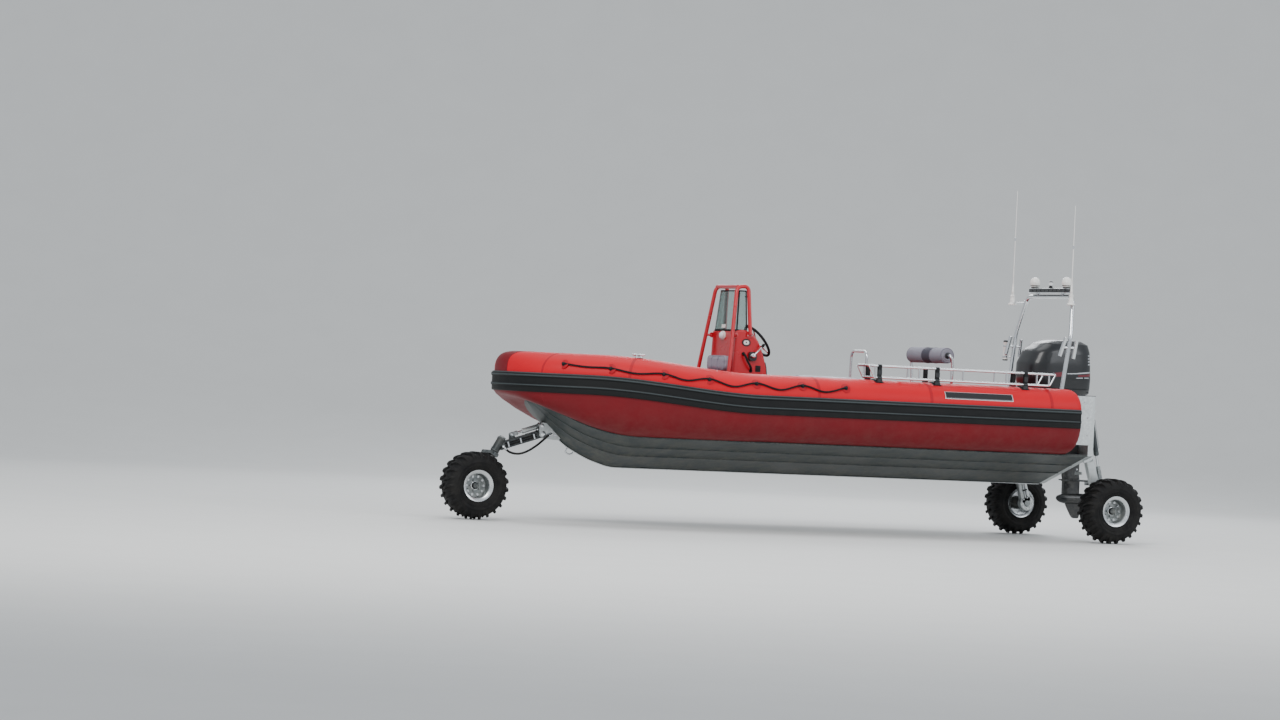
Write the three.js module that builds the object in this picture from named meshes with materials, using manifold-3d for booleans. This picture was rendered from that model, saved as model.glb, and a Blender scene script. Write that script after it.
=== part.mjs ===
// Amphibious rigid inflatable boat, standing on its three lowered wheels.
// Millimetres. x runs aft from the bow tip, y to starboard, z up from the floor.
import * as THREE from 'three';
import * as BufferGeometryUtils from 'three/addons/utils/BufferGeometryUtils.js';
import Module from 'manifold-3d';

const wasm = await Module();
wasm.setup();

// Driving dimensions
const GAP = 0.3; // between touching pieces
const KEEL = 560; // keel above the floor
const HULL_END = 6120; // aft face of the transom
const TRANSOM_THICK = 60;
const COLLAR_END = 5850;
const HALF_BEAM = 1195; // outer face of the collar, without the strake
const COCKPIT_HALF = 770; // inner face of the collar
const BOW_CURVE = 2300; // the collar turns in forward of here
const BOW_DEPTH = 550; // collar, fore and aft, on the centreline
const CHINE_SHARE = 0.42; // where the chine lies across the collar
const BOW_JOIN = 26; // degrees of turn where the bow compartment starts

// Heights above the keel
const SHEER = 980;
const STRAKE_TOP = 780;
const STRAKE_LOW = 590;
const CHINE = 320;
const DECK_LOW = 420;
const DECK = 445;
const BOW_RISE = 115; // sheer and strake at the bow
const BOW_RISE_RUN = 1700;
const CHINE_RISE = 310;
const CHINE_RUN = 1000;

// Wheels
const TYRE_RADIUS = 330; // over the lugs
const CROWN_RADIUS = 306;
const RIM_RADIUS = 140;
const HUB_FACE = 4; // inner face of the rim's disc, outwards of the wheel's middle
const LUGS_A_SIDE = 12;
const TYRE_SIDES = 24;

// Legs: x and z of the pivot and of the wheel
const FRONT_PIVOT = { x: 474, z: 858 };
const FRONT_WHEEL = { x: -205, z: TYRE_RADIUS };
const STEER_HEAD = { x: 15, z: 711 };
const REAR_PIVOT = { x: 6182, z: 858 };
const REAR_WHEEL = { x: 6345, z: TYRE_RADIUS };
const REAR_WHEEL_Y = 980;
const REAR_LEG_Y = 770;

// Outboard
const TILT_AXIS = { x: 6178, z: 1245 };
const STEER_AXIS_X = 6245;
const PROP_AXIS_Z = 418;

// Console
const CONSOLE_HALF = 280;
const HELM_WHEEL = { x: 2765, z: KEEL + 1312, tilt: 38, column: 80, radius: 176 };

const rad = THREE.MathUtils.degToRad;
const smooth = (t) => {
  const s = Math.min(1, Math.max(0, t));
  return s * s * (3 - 2 * s);
};

// Finishes: colour, roughness, metalness
const finish = (color, roughness, metalness = 0) =>
  new THREE.MeshStandardMaterial({ color, roughness, metalness });
const LOOK = {
  red: finish(0xd62f3c, 0.5),
  redPaint: finish(0xc81e2c, 0.35),
  blackRubber: finish(0x23292a, 0.8),
  tyre: finish(0x161616, 0.9),
  hull: finish(0x2f3838, 0.55, 0.3),
  deck: finish(0x8b8f90, 0.8),
  paleMetal: finish(0xd9dcdb, 0.45, 0.3),
  polished: finish(0xd8dadc, 0.2, 1),
  darkMetal: finish(0x474c4e, 0.5, 0.6),
  rim: finish(0xe3e5e5, 0.35, 0.6),
  glass: finish(0x9fb0b0, 0.1),
  cushion: finish(0x97a1aa, 0.8),
  bolster: finish(0x8c8c97, 0.8),
  blackPlastic: finish(0x1b1d1f, 0.4),
  white: finish(0xf0f0ee, 0.35),
  blackPaint: finish(0x1a1c1e, 0.3),
};

const boat = new THREE.Group();

function add(name, geometry, look, place) {
  const mesh = new THREE.Mesh(geometry, look);
  mesh.name = name;
  if (place) mesh.position.set(...place);
  boat.add(mesh);
  return mesh;
}

// Closed solid through rings of points that match one to one
function loft(rings) {
  const count = rings[0].length;
  const points = rings.flat();
  const faces = [];
  for (let r = 0; r + 1 < rings.length; r++) {
    for (let i = 0; i < count; i++) {
      const a = r * count + i;
      const b = r * count + ((i + 1) % count);
      faces.push(a, b, b + count, a, b + count, a + count);
    }
  }
  for (const [ring, flip] of [[0, true], [rings.length - 1, false]]) {
    const middle = new THREE.Vector3();
    rings[ring].forEach((p) => middle.add(p));
    points.push(middle.divideScalar(count));
    for (let i = 0; i < count; i++) {
      const a = ring * count + i;
      const b = ring * count + ((i + 1) % count);
      faces.push(...(flip ? [b, a] : [a, b]), points.length - 1);
    }
  }
  return facingOut(points, faces);
}

// Turns the faces over where the enclosed volume comes out negative
function facingOut(points, faces) {
  let volume = 0;
  for (let i = 0; i < faces.length; i += 3) {
    const [a, b, c] = [0, 1, 2].map((k) => points[faces[i + k]]);
    volume += a.dot(new THREE.Vector3().crossVectors(b, c));
  }
  if (volume < 0) faces.reverse();
  const geometry = new THREE.BufferGeometry().setFromPoints(points);
  geometry.setIndex(faces);
  return geometry;
}

function toSolid(geometry) {
  const bare = geometry.clone();
  bare.deleteAttribute('normal');
  bare.deleteAttribute('uv');
  const merged = BufferGeometryUtils.mergeVertices(bare, 1e-3);
  return new wasm.Manifold(new wasm.Mesh({
    numProp: 3,
    vertProperties: new Float32Array(merged.attributes.position.array),
    triVerts: new Uint32Array(merged.index.array),
  }));
}

function toGeometry(solid) {
  const mesh = solid.getMesh();
  const geometry = new THREE.BufferGeometry();
  geometry.setAttribute('position', new THREE.BufferAttribute(mesh.vertProperties, 3));
  geometry.setIndex(new THREE.BufferAttribute(mesh.triVerts, 1));
  return geometry;
}

const join = (...parts) => toGeometry(parts.map(toSolid).reduce((whole, next) => whole.add(next)));
const cut = (base, ...tools) =>
  toGeometry(tools.map(toSolid).reduce((left, tool) => left.subtract(tool), toSolid(base)));

// Prism over an outline. Along x the outline is [y, z], along y it is [x, z], along z it is [x, y].
function prism(outline, along, from, to, bevel = 0) {
  const shape = outline instanceof THREE.Shape ? outline
    : new THREE.Shape(outline.map(([a, b]) => new THREE.Vector2(a, b)));
  const geometry = new THREE.ExtrudeGeometry(shape, {
    depth: to - from - 2 * bevel,
    curveSegments: 2,
    bevelEnabled: bevel > 0,
    bevelSize: bevel,
    bevelThickness: bevel,
    bevelOffset: -bevel,
    bevelSegments: 2,
  });
  geometry.translate(0, 0, bevel);
  const X = new THREE.Vector3(1, 0, 0);
  const Y = new THREE.Vector3(0, 1, 0);
  const Z = new THREE.Vector3(0, 0, 1);
  const turn = new THREE.Matrix4();
  if (along === 'x') turn.makeBasis(Y, Z, X).setPosition(from, 0, 0);
  if (along === 'y') turn.makeBasis(X, Z, Y.clone().negate()).setPosition(0, to, 0);
  if (along === 'z') turn.setPosition(0, 0, from);
  return geometry.applyMatrix4(turn);
}

const block = ([x0, x1], [y0, y1], [z0, z1]) =>
  new THREE.BoxGeometry(x1 - x0, y1 - y0, z1 - z0)
    .translate((x0 + x1) / 2, (y0 + y1) / 2, (z0 + z1) / 2);

// Round bar between two points
function bar(from, to, radius, sides = 12, endRadius = radius) {
  const start = new THREE.Vector3(...from);
  const run = new THREE.Vector3(...to).sub(start);
  const geometry = new THREE.CylinderGeometry(endRadius, radius, run.length(), sides);
  geometry.translate(0, run.length() / 2, 0);
  const up = new THREE.Vector3(0, 1, 0);
  geometry.applyQuaternion(new THREE.Quaternion().setFromUnitVectors(up, run.normalize()));
  return geometry.translate(...from);
}

// Square-ended beam between two points in a plane of constant y
function beam(from, to, [y0, y1], height) {
  const run = new THREE.Vector2(to.x - from.x, to.z - from.z);
  const side = new THREE.Vector2(-run.y, run.x).normalize().multiplyScalar(height / 2);
  const outline = [[from, 1], [from, -1], [to, -1], [to, 1]]
    .map(([end, sign]) => [end.x + sign * side.x, end.z + sign * side.y]);
  return prism(outline, 'y', y0, y1);
}

// Tube bent through points, each corner rounded
function tube(corners, radius, { bend = 80, steps = 28, sides = 8 } = {}) {
  const points = corners.map((p) => new THREE.Vector3(...p));
  const path = new THREE.CurvePath();
  let from = points[0];
  for (let i = 1; i + 1 < points.length; i++) {
    const back = points[i - 1].clone().sub(points[i]);
    const ahead = points[i + 1].clone().sub(points[i]);
    const reach = Math.min(bend, back.length() * 0.45, ahead.length() * 0.45);
    const start = points[i].clone().addScaledVector(back.normalize(), reach);
    const end = points[i].clone().addScaledVector(ahead.normalize(), reach);
    path.add(new THREE.LineCurve3(from, start));
    path.add(new THREE.QuadraticBezierCurve3(start, points[i], end));
    from = end;
  }
  path.add(new THREE.LineCurve3(from, points.at(-1)));
  return sweep(path, radius, steps, sides);
}

function sweep(path, radius, steps, sides) {
  const ring = Array.from({ length: sides }, (_, i) => {
    const angle = (2 * Math.PI * i) / sides;
    return new THREE.Vector2(radius * Math.cos(angle), radius * Math.sin(angle));
  });
  return new THREE.ExtrudeGeometry(new THREE.Shape(ring), { extrudePath: path, steps });
}

// Turned about the y axis through a centre: profile of [radius, y]
function turned(profile, segments, { x, y, z }) {
  const points = profile.map(([r, across]) => new THREE.Vector2(r, across));
  return new THREE.LatheGeometry(points, segments).translate(x, y, z);
}

// Level ring with flattened sides, its squareness from 2, an ellipse, upwards
function levelRing(z, [x0, x1], half, squareness = 4, count = 20) {
  const power = (v) => Math.sign(v) * Math.abs(v) ** (2 / squareness);
  return Array.from({ length: count }, (_, i) => {
    const angle = (2 * Math.PI * i) / count;
    return new THREE.Vector3(
      (x0 + x1) / 2 + ((x1 - x0) / 2) * power(Math.cos(angle)),
      half * power(Math.sin(angle)),
      z,
    );
  });
}

const rounded = (x0, x1, y0, y1, r) => {
  const shape = new THREE.Shape();
  shape.absarc(x1 - r, y1 - r, r, 0, rad(90));
  shape.absarc(x0 + r, y1 - r, r, rad(90), rad(180));
  shape.absarc(x0 + r, y0 + r, r, rad(180), rad(270));
  shape.absarc(x1 - r, y0 + r, r, rad(270), rad(360));
  return shape;
};

const bothSides = [['port', -1], ['starboard', 1]];

// Collar

// Inner and outer edge in plan: by turn in degrees at the bow, or by x aft of it
function plan({ turn, aft }, side) {
  if (aft !== undefined) {
    return { outer: [aft, side * HALF_BEAM], inner: [aft, side * COCKPIT_HALF] };
  }
  const c = Math.cos(rad(turn));
  const s = side * Math.sin(rad(turn));
  return {
    outer: [BOW_CURVE * (1 - c), HALF_BEAM * s],
    inner: [BOW_CURVE - (BOW_CURVE - BOW_DEPTH) * c, COCKPIT_HALF * s],
  };
}

// Heights of the collar's lines where its outer edge is at x
function levels(x) {
  const rise = BOW_RISE * smooth((BOW_CURVE - x) / BOW_RISE_RUN);
  const lift = CHINE_RISE * Math.max(0, 1 - x / CHINE_RUN) ** 2;
  return {
    top: KEEL + SHEER + rise,
    high: KEEL + STRAKE_TOP + rise,
    low: KEEL + STRAKE_LOW + rise,
    chine: KEEL + CHINE + lift,
    heel: KEEL + CHINE + 0.3 * lift,
  };
}

// Point on the shoulder arc, in degrees from the outer face, aft of the bow compartment
function shoulder(station, side, angle, proud = 0) {
  const { outer, inner } = plan(station, side);
  const line = levels(outer[0]);
  const share = 0.5 + 0.5 * Math.cos(rad(angle));
  const across = new THREE.Vector2(outer[0] - inner[0], outer[1] - inner[1]);
  const out = across.clone().normalize().multiplyScalar(proud * Math.cos(rad(angle)));
  return new THREE.Vector3(
    inner[0] + share * across.x + out.x,
    inner[1] + share * across.y + out.y,
    line.high + (line.top - line.high + proud) * Math.sin(rad(angle)),
  );
}

// Squareness of the section's top: round along the sides, squarer towards the nose
const topSquareness = ({ turn = 90 }) => 2 + 1.5 * (1 - smooth(Math.abs(turn) / BOW_JOIN));

// D-shaped section: flat inner wall, upright outer wall, round top; size 1 is the full section
function collarRing(station, side, size = 1) {
  const { outer, inner } = plan(station, side);
  const line = levels(outer[0]);
  const power = (v) => Math.sign(v) * Math.abs(v) ** (2 / topSquareness(station));
  const outline = [
    [0, line.heel],
    [CHINE_SHARE, line.chine],
    [0.8, line.chine + 0.35 * (line.low - line.chine)],
    [1, line.low],
  ];
  for (let angle = 0; angle <= 180; angle += 22.5) {
    const height = line.high + (line.top - line.high) * power(Math.sin(rad(angle)));
    outline.push([0.5 + 0.5 * power(Math.cos(rad(angle))), height]);
  }
  const middle = (line.top + line.chine) / 2;
  return outline.map(([share, z]) => {
    const across = 0.5 + (share - 0.5) * size;
    return new THREE.Vector3(
      inner[0] + across * (outer[0] - inner[0]),
      inner[1] + across * (outer[1] - inner[1]),
      middle + (z - middle) * size,
    );
  });
}

const BOW_TURNS = [6.5, 13, 20, BOW_JOIN];
const SIDE_TURNS = [34, 42, 50, 58, 66, 74, 82, 90];
const END_ROUND = [[90, 1], [30, 0.96], [0, 0.86]]; // distance from the end, section size

function collarSide(side, size = 1) {
  const rings = [BOW_JOIN + 0.02, ...SIDE_TURNS].map((turn) => collarRing({ turn }, side, size));
  for (const [distance, share] of END_ROUND) {
    rings.push(collarRing({ aft: COLLAR_END - distance }, side, share * size));
  }
  return loft(rings);
}

function collarBow(size = 1) {
  const turns = [...BOW_TURNS].reverse().concat([0], BOW_TURNS.map((turn) => -turn));
  return loft(turns.map((turn) => collarRing({ turn }, 1, size)));
}

// Ribbed rubbing strake: [proud of the collar, share of the strake's height]
const STRAKE_PROFILE = [
  [GAP, 0], [20, 0.04], [20, 0.26], [30, 0.3], [30, 0.4], [20, 0.44],
  [20, 0.75], [30, 0.79], [30, 0.9], [20, 0.94], [17, 0.98], [GAP, 1],
];

function strake(side) {
  const stations = [0.02, ...BOW_TURNS, ...SIDE_TURNS].map((turn) => ({ turn }));
  stations.push({ aft: COLLAR_END - 95 });
  return loft(stations.map((station) => {
    const [x, y] = plan(station, side).outer;
    const line = levels(x);
    const turn = rad(station.turn ?? 90);
    const normal = new THREE.Vector2(-HALF_BEAM * Math.cos(turn), side * BOW_CURVE * Math.sin(turn))
      .normalize();
    return STRAKE_PROFILE.map(([proud, share]) => new THREE.Vector3(
      x + normal.x * proud,
      Math.max(y * side + normal.y * side * proud, GAP / 2) * side,
      line.low + share * (line.high - line.low),
    ));
  }));
}

// Grab line: seven patches about half a metre apart, the line sagging between them.
// A patch has its station and its angle on the shoulder.
const LINE_RADIUS = 9;
const LINE_PATCHES = [
  [{ turn: 33.5 }, 27], [{ turn: 48.8 }, 28], [{ turn: 63.5 }, 31], [{ turn: 75.5 }, 31],
  [{ turn: 88 }, 31], [{ aft: 2718 }, 31], [{ aft: 3192 }, 31],
];
const LINE_SAGS = [41.2, 56.2, 69.5, 81.8].map((turn) => ({ turn }))
  .concat([{ aft: 2469 }, { aft: 2955 }]);
const SAG_ANGLE = 16;

function grabLine(side) {
  const points = [];
  LINE_PATCHES.forEach(([station, angle], i) => {
    points.push(shoulder(station, side, angle, 17));
    if (LINE_SAGS[i]) points.push(shoulder(LINE_SAGS[i], side, SAG_ANGLE, 15));
  });
  const rope = sweep(new THREE.CatmullRomCurve3(points), LINE_RADIUS, 30, 5);
  const pads = LINE_PATCHES.map(([station, angle]) => {
    const seat = shoulder(station, side, angle, -8);
    const top = shoulder(station, side, angle, 20);
    return bar(seat.toArray(), top.toArray(), 26, 6, 20);
  });
  return cut(join(rope, ...pads), side < 0 ? collars[0] : collars[1], collars[2]);
}

// Hull

const STEM = [ // x, height above the keel
  [300, 640], [450, 430], [600, 300], [700, 205], [950, 78], [1200, 0], [7000, 0],
];
const HULL_TURNS = [4, 12, 20, 28, 36, 46, 56, 70, 84];
const HULL_TOP_IN_BOW = 660;

function stemHeight(x) {
  const i = STEM.findIndex(([at]) => at >= x);
  const [x0, z0] = STEM[i - 1];
  const [x1, z1] = STEM[i];
  return KEEL + z0 + ((z1 - z0) * (x - x0)) / (x1 - x0);
}

function hullRing(x, chineHalf, chineZ, top) {
  const keel = Math.min(stemHeight(x), chineZ - 2);
  return [[0, keel], [chineHalf, chineZ], [chineHalf, top], [-chineHalf, top], [-chineHalf, chineZ]]
    .map(([y, z]) => new THREE.Vector3(x, y, z));
}

function hullBlank() {
  const chineHalf = COCKPIT_HALF + CHINE_SHARE * (HALF_BEAM - COCKPIT_HALF);
  const chineReach = BOW_CURVE - BOW_DEPTH * (1 - CHINE_SHARE);
  const rings = HULL_TURNS.map((turn) => {
    const c = Math.cos(rad(turn));
    const { chine } = levels(BOW_CURVE * (1 - c));
    const half = chineHalf * Math.sin(rad(turn));
    return hullRing(BOW_CURVE - chineReach * c, half, chine - 5, KEEL + HULL_TOP_IN_BOW);
  });
  for (const x of [BOW_CURVE + 50, HULL_END - TRANSOM_THICK - GAP]) {
    rings.push(hullRing(x, chineHalf + 20, KEEL + CHINE - 5, KEEL + DECK_LOW));
  }
  return loft(rings);
}

// Cockpit floor outline, moved outwards by grow
function cockpitOutline(grow, end) {
  const points = [];
  for (let turn = -90; turn <= 90; turn += 10) {
    const c = Math.cos(rad(turn));
    const reach = BOW_CURVE - BOW_DEPTH + grow;
    points.push([BOW_CURVE - reach * c, (COCKPIT_HALF + grow) * Math.sin(rad(turn))]);
  }
  points.push([end, COCKPIT_HALF + grow], [end, -COCKPIT_HALF - grow]);
  return points;
}

const SECTION_GROWTH = 1.002; // keeps about 0.6 mm to the collar
const collars = [collarSide(-1, SECTION_GROWTH), collarSide(1, SECTION_GROWTH), collarBow(SECTION_GROWTH)];
const cockpitSpace = prism(cockpitOutline(4, HULL_END), 'z', KEEL + DECK_LOW, KEEL + SHEER);
const hull = cut(hullBlank(), ...collars, cockpitSpace);
add('hull', hull, LOOK.hull);
const deckSheet = prism(cockpitOutline(-1, HULL_END - TRANSOM_THICK - GAP), 'z',
  KEEL + DECK_LOW + GAP, KEEL + DECK);
add('deck', cut(deckSheet, ...collars), LOOK.deck);
add('collar_bow', collarBow(), LOOK.red);
for (const [name, side] of bothSides) {
  add(`collar_${name}`, collarSide(side), LOOK.red);
  add(`strake_${name}`, strake(side), LOOK.blackRubber);
  add(`grab_line_${name}`, grabLine(side), LOOK.blackRubber);
}

// Mooring cleat on the port tube at the bow
const CLEAT = { x: 1120, y: -800 };

function bowCleat() {
  const seat = KEEL + 1072;
  const post = bar([CLEAT.x, CLEAT.y, seat], [CLEAT.x, CLEAT.y, seat + 42], 14);
  const horn = bar([CLEAT.x - 70, CLEAT.y, seat + 36], [CLEAT.x + 70, CLEAT.y, seat + 36], 11);
  const foot = bar([CLEAT.x, CLEAT.y, seat], [CLEAT.x, CLEAT.y, seat + 8], 45, 16);
  return cut(join(foot, post, horn), ...collars);
}
add('bow_cleat', bowCleat(), LOOK.blackPlastic);

// Transom with its quarter plates, engine cut-out and leg lugs
const TRANSOM_TOP = KEEL + 920;
const ENGINE_SILL = KEEL + 660;
const TRANSOM_HALF = 968;
const LUG_THICK = 14;
const LEG_HALF = 34; // half the thickness of a rear leg across the boat
const RAM_TOP = { x: 6182, z: 1330 };
const PIN_RADIUS = 18;

function legLugs(y) {
  const lugs = [];
  for (const pivot of [REAR_PIVOT, RAM_TOP]) {
    for (const side of [-1, 1]) {
      const inner = y + side * (LEG_HALF + 6);
      const span = [inner, inner + side * LUG_THICK].sort((a, b) => a - b);
      lugs.push(prism([
        [HULL_END - 20, pivot.z - 55], [pivot.x, pivot.z - 36], [pivot.x + 36, pivot.z],
        [pivot.x, pivot.z + 36], [HULL_END - 20, pivot.z + 55],
      ], 'y', ...span));
    }
    const reach = LEG_HALF + 6 + LUG_THICK;
    lugs.push(bar([pivot.x, y - reach, pivot.z], [pivot.x, y + reach, pivot.z], PIN_RADIUS));
  }
  return lugs;
}

function transom() {
  const start = HULL_END - TRANSOM_THICK;
  const board = prism([
    [0, KEEL + 2], [TRANSOM_HALF, KEEL + CHINE - 5], [TRANSOM_HALF, TRANSOM_TOP],
    [400, TRANSOM_TOP], [330, ENGINE_SILL], [-330, ENGINE_SILL], [-400, TRANSOM_TOP],
    [-TRANSOM_HALF, TRANSOM_TOP], [-TRANSOM_HALF, KEEL + CHINE - 5],
  ], 'x', start, HULL_END);
  const quarters = bothSides.map(([, side]) => {
    const span = [side * (TRANSOM_HALF - 18), side * TRANSOM_HALF].sort((a, b) => a - b);
    return prism([
      [COLLAR_END + 6, KEEL + DECK_LOW + 6], [start + 10, KEEL + DECK_LOW + 6],
      [start + 10, TRANSOM_TOP], [COLLAR_END + 60, TRANSOM_TOP], [COLLAR_END + 6, KEEL + 800],
    ], 'y', ...span);
  });
  return join(board, ...quarters, ...legLugs(-REAR_LEG_Y), ...legLugs(REAR_LEG_Y));
}
add('transom', transom(), LOOK.paleMetal);

// Console, its hoop of tube and its windscreen
const CONSOLE_FRONT = 2370;
const CONSOLE_BASE = KEEL + DECK + GAP;
const belowDeck = block([-100, HULL_END], [-COCKPIT_HALF, COCKPIT_HALF], [KEEL, CONSOLE_BASE]);
const CONSOLE_OUTLINE = [ // x, height above the keel
  [CONSOLE_FRONT - 10, DECK + GAP], [2760, DECK + GAP], [2760, 960], [2724, 1136],
  [2652, 1305], [2560, 1396], [2460, 1416], [CONSOLE_FRONT + 26, 1400],
];
const HOOP_RADIUS = 19.5;
const HOOP_FOOT = { x: 2214, y: 375 };
const HOOP_HEAD = { x: 2400, y: 245, z: KEEL + 1838 };
const HOOP_BLOCK_Y = CONSOLE_HALF + 12;
const SCREEN_BASE = KEEL + 1370;
const SCREEN_TOP = KEEL + 1800;

// Point on the helm wheel's axis, a distance below its centre
const alongColumn = (distance) => [
  HELM_WHEEL.x - distance * Math.cos(rad(HELM_WHEEL.tilt)), 0,
  HELM_WHEEL.z - distance * Math.sin(rad(HELM_WHEEL.tilt)),
];

function consoleBody() {
  const outline = CONSOLE_OUTLINE.map(([x, z]) => [x, KEEL + z]);
  return prism(outline, 'y', -CONSOLE_HALF, CONSOLE_HALF, 18);
}
const helmBoss = bar(alongColumn(200), alongColumn(HELM_WHEEL.column), 42, 16, 32);
add('console', join(consoleBody(), helmBoss), LOOK.redPaint);

function consoleHoop() {
  const sides = bothSides.map(([, side]) => tube([
    [HOOP_FOOT.x, side * HOOP_FOOT.y, CONSOLE_BASE], [2300, side * 360, KEEL + 1020],
    [HOOP_HEAD.x, side * HOOP_HEAD.y, HOOP_HEAD.z], [2526, side * HOOP_HEAD.y, KEEL + 1850],
    [2542, side * 302, KEEL + 1368],
  ], HOOP_RADIUS, { bend: 70, steps: 22, sides: 6 }));
  const head = bar([HOOP_HEAD.x + 12, -HOOP_HEAD.y, HOOP_HEAD.z], [HOOP_HEAD.x + 12, HOOP_HEAD.y, HOOP_HEAD.z],
    HOOP_RADIUS, 10);
  const ties = bothSides.map(([, side]) =>
    bar([2341, side * 313, KEEL + 1355], [2400, side * (CONSOLE_HALF + 2), KEEL + 1355], 12, 8));
  const pads = bothSides.map(([, side]) => bar([HOOP_FOOT.x, side * HOOP_FOOT.y, CONSOLE_BASE],
    [HOOP_FOOT.x, side * HOOP_FOOT.y, CONSOLE_BASE + 10], 45, 14));
  const feet = bothSides.map(([, side]) =>
    block([2510, 2574], [side * HOOP_BLOCK_Y - 11.5, side * HOOP_BLOCK_Y + 11.5],
      [KEEL + 1342, KEEL + 1385]));
  return join(...sides, head, ...ties, ...pads, ...feet);
}
const hoop = cut(consoleHoop(), block([CONSOLE_FRONT - 40, 2800],
  [-CONSOLE_HALF - GAP, CONSOLE_HALF + GAP], [CONSOLE_BASE, KEEL + 1420]), belowDeck);
add('console_hoop', hoop, LOOK.redPaint);

// One bent sheet: front pane and two side panes
function windscreen() {
  const thick = 6;
  const ring = (x0, x1, half, z) => [
    [x1, half], [x0, half], [x0, -half], [x1, -half],
    [x1, -half + thick], [x0 + thick, -half + thick], [x0 + thick, half - thick], [x1, half - thick],
  ].map(([x, y]) => new THREE.Vector3(x, y, z));
  const [low, high] = [ring(2402, 2520, 262, SCREEN_BASE), ring(2432, 2515, 218, SCREEN_TOP)];
  const faces = [];
  const quads = [[0, 1, 6, 7], [1, 2, 5, 6], [2, 3, 4, 5]];
  for (const [a, b, c, d] of quads) {
    faces.push(a, c, b, a, d, c);
    faces.push(a + 8, b + 8, c + 8, a + 8, c + 8, d + 8);
  }
  for (let i = 0; i < 8; i++) {
    const j = (i + 1) % 8;
    faces.push(i, j, j + 8, i, j + 8, i + 8);
  }
  return facingOut([...low, ...high], faces);
}
add('windscreen', cut(windscreen(), consoleBody().translate(0, 0, GAP)), LOOK.glass);

const padShape = rounded(-208, 208, KEEL + 1000, KEEL + 1155, 40);
const backPad = prism(padShape, 'x', CONSOLE_FRONT - 70, CONSOLE_FRONT + 40, 12);
add('console_back_pad', cut(backPad, consoleBody().translate(-GAP, 0, 0)), LOOK.cushion);

// Front seat ahead of the console
const SEAT_FRONT = 1930;
add('front_seat_box', block([SEAT_FRONT, CONSOLE_FRONT - 14], [-270, 270],
  [CONSOLE_BASE, KEEL + 760]), LOOK.redPaint);
add('front_seat_cushion', prism(rounded(SEAT_FRONT - 10, CONSOLE_FRONT - 18, -265, 265, 50), 'z',
  KEEL + 760 + GAP, KEEL + 850, 14), LOOK.cushion);

// Round lamp, speaker and throttle on the console
const LAMP_FACE = CONSOLE_FRONT - 10 + (1365 - DECK) * (36 / (1400 - DECK));
const lamp = bar([LAMP_FACE + 10, 0, KEEL + 1352], [LAMP_FACE - 26, 0, KEEL + 1352], 42, 20, 36);
add('console_lamp', cut(lamp, consoleBody().translate(-GAP, 0, 0)), LOOK.white);
add('side_speaker', bar([2505, -CONSOLE_HALF - GAP, KEEL + 1285],
  [2505, -CONSOLE_HALF - 12, KEEL + 1285], 46, 20), LOOK.blackPlastic);

function throttle() {
  const y = -CONSOLE_HALF - GAP;
  const box = prism(rounded(2540, 2620, KEEL + 1110, KEEL + 1200, 25), 'y', y - 34, y);
  const hub = bar([2580, y - 30, KEEL + 1160], [2580, y - 52, KEEL + 1160], 22, 12);
  const lever = bar([2580, y - 46, KEEL + 1160], [2672, y - 46, KEEL + 1262], 8, 8);
  const grip = bar([2664, y - 46, KEEL + 1253], [2690, y - 46, KEEL + 1282], 14, 10);
  return join(box, hub, lever, grip);
}
add('throttle', throttle(), LOOK.polished);

// Helm wheel on its tilted shaft
function helmWheel() {
  const rim = new THREE.TorusGeometry(HELM_WHEEL.radius, 14, 6, 24);
  const parts = [rim];
  for (const angle of [90, 210, 330]) {
    const reach = HELM_WHEEL.radius - 4;
    const end = [reach * Math.cos(rad(angle)), reach * Math.sin(rad(angle)), 0];
    parts.push(bar([0, 0, -14], end, 10, 8));
  }
  parts.push(new THREE.CylinderGeometry(38, 44, 40, 14).rotateX(rad(90)).translate(0, 0, -16));
  parts.push(bar([0, 0, -30], [0, 0, GAP - HELM_WHEEL.column], 14, 10));
  return join(...parts);
}
const wheelFacing = new THREE.Matrix4().makeBasis(
  new THREE.Vector3(0, 1, 0),
  new THREE.Vector3(-Math.sin(rad(HELM_WHEEL.tilt)), 0, Math.cos(rad(HELM_WHEEL.tilt))),
  new THREE.Vector3(Math.cos(rad(HELM_WHEEL.tilt)), 0, Math.sin(rad(HELM_WHEEL.tilt))),
);
const helm = helmWheel().applyMatrix4(wheelFacing).translate(HELM_WHEEL.x, 0, HELM_WHEEL.z);
add('helm_wheel', helm, LOOK.blackPlastic);

// Helm seat with its hoop
const SEAT = { front: 3290, back: 3840, half: 400, top: KEEL + 1000 };
add('helm_seat_box', prism(rounded(SEAT.front + 30, SEAT.back, -SEAT.half + 20, SEAT.half - 20, 50), 'z',
  CONSOLE_BASE, SEAT.top - 110), LOOK.redPaint);
add('helm_seat_cushion', prism(rounded(SEAT.front, SEAT.back + 10, -SEAT.half, SEAT.half, 60), 'z',
  SEAT.top - 110 + GAP, SEAT.top, 22), LOOK.cushion);

const SEAT_HOOP_HALF = 172;
function seatHoop() {
  const loop = tube([
    [3905, -SEAT_HOOP_HALF, KEEL + 860], [3915, -SEAT_HOOP_HALF, KEEL + 1265],
    [3915, SEAT_HOOP_HALF, KEEL + 1265], [3905, SEAT_HOOP_HALF, KEEL + 860],
  ], 14, { bend: 60, steps: 18 });
  const struts = [-SEAT_HOOP_HALF, SEAT_HOOP_HALF].map((y) => block([SEAT.back + GAP, 3918], [y - 12, y + 12],
    [KEEL + 800, KEEL + 870]));
  return join(loop, ...struts);
}
add('seat_hoop', seatHoop(), LOOK.polished);

// Rear locker that covers the drive engine, with the bolster above it
const LOCKER = { front: 4830, back: 5230, half: 460, top: KEEL + 900 };
add('stern_locker', prism(rounded(LOCKER.front, LOCKER.back, -LOCKER.half, LOCKER.half, 40), 'z',
  CONSOLE_BASE, LOCKER.top, 12), LOOK.redPaint);

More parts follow.
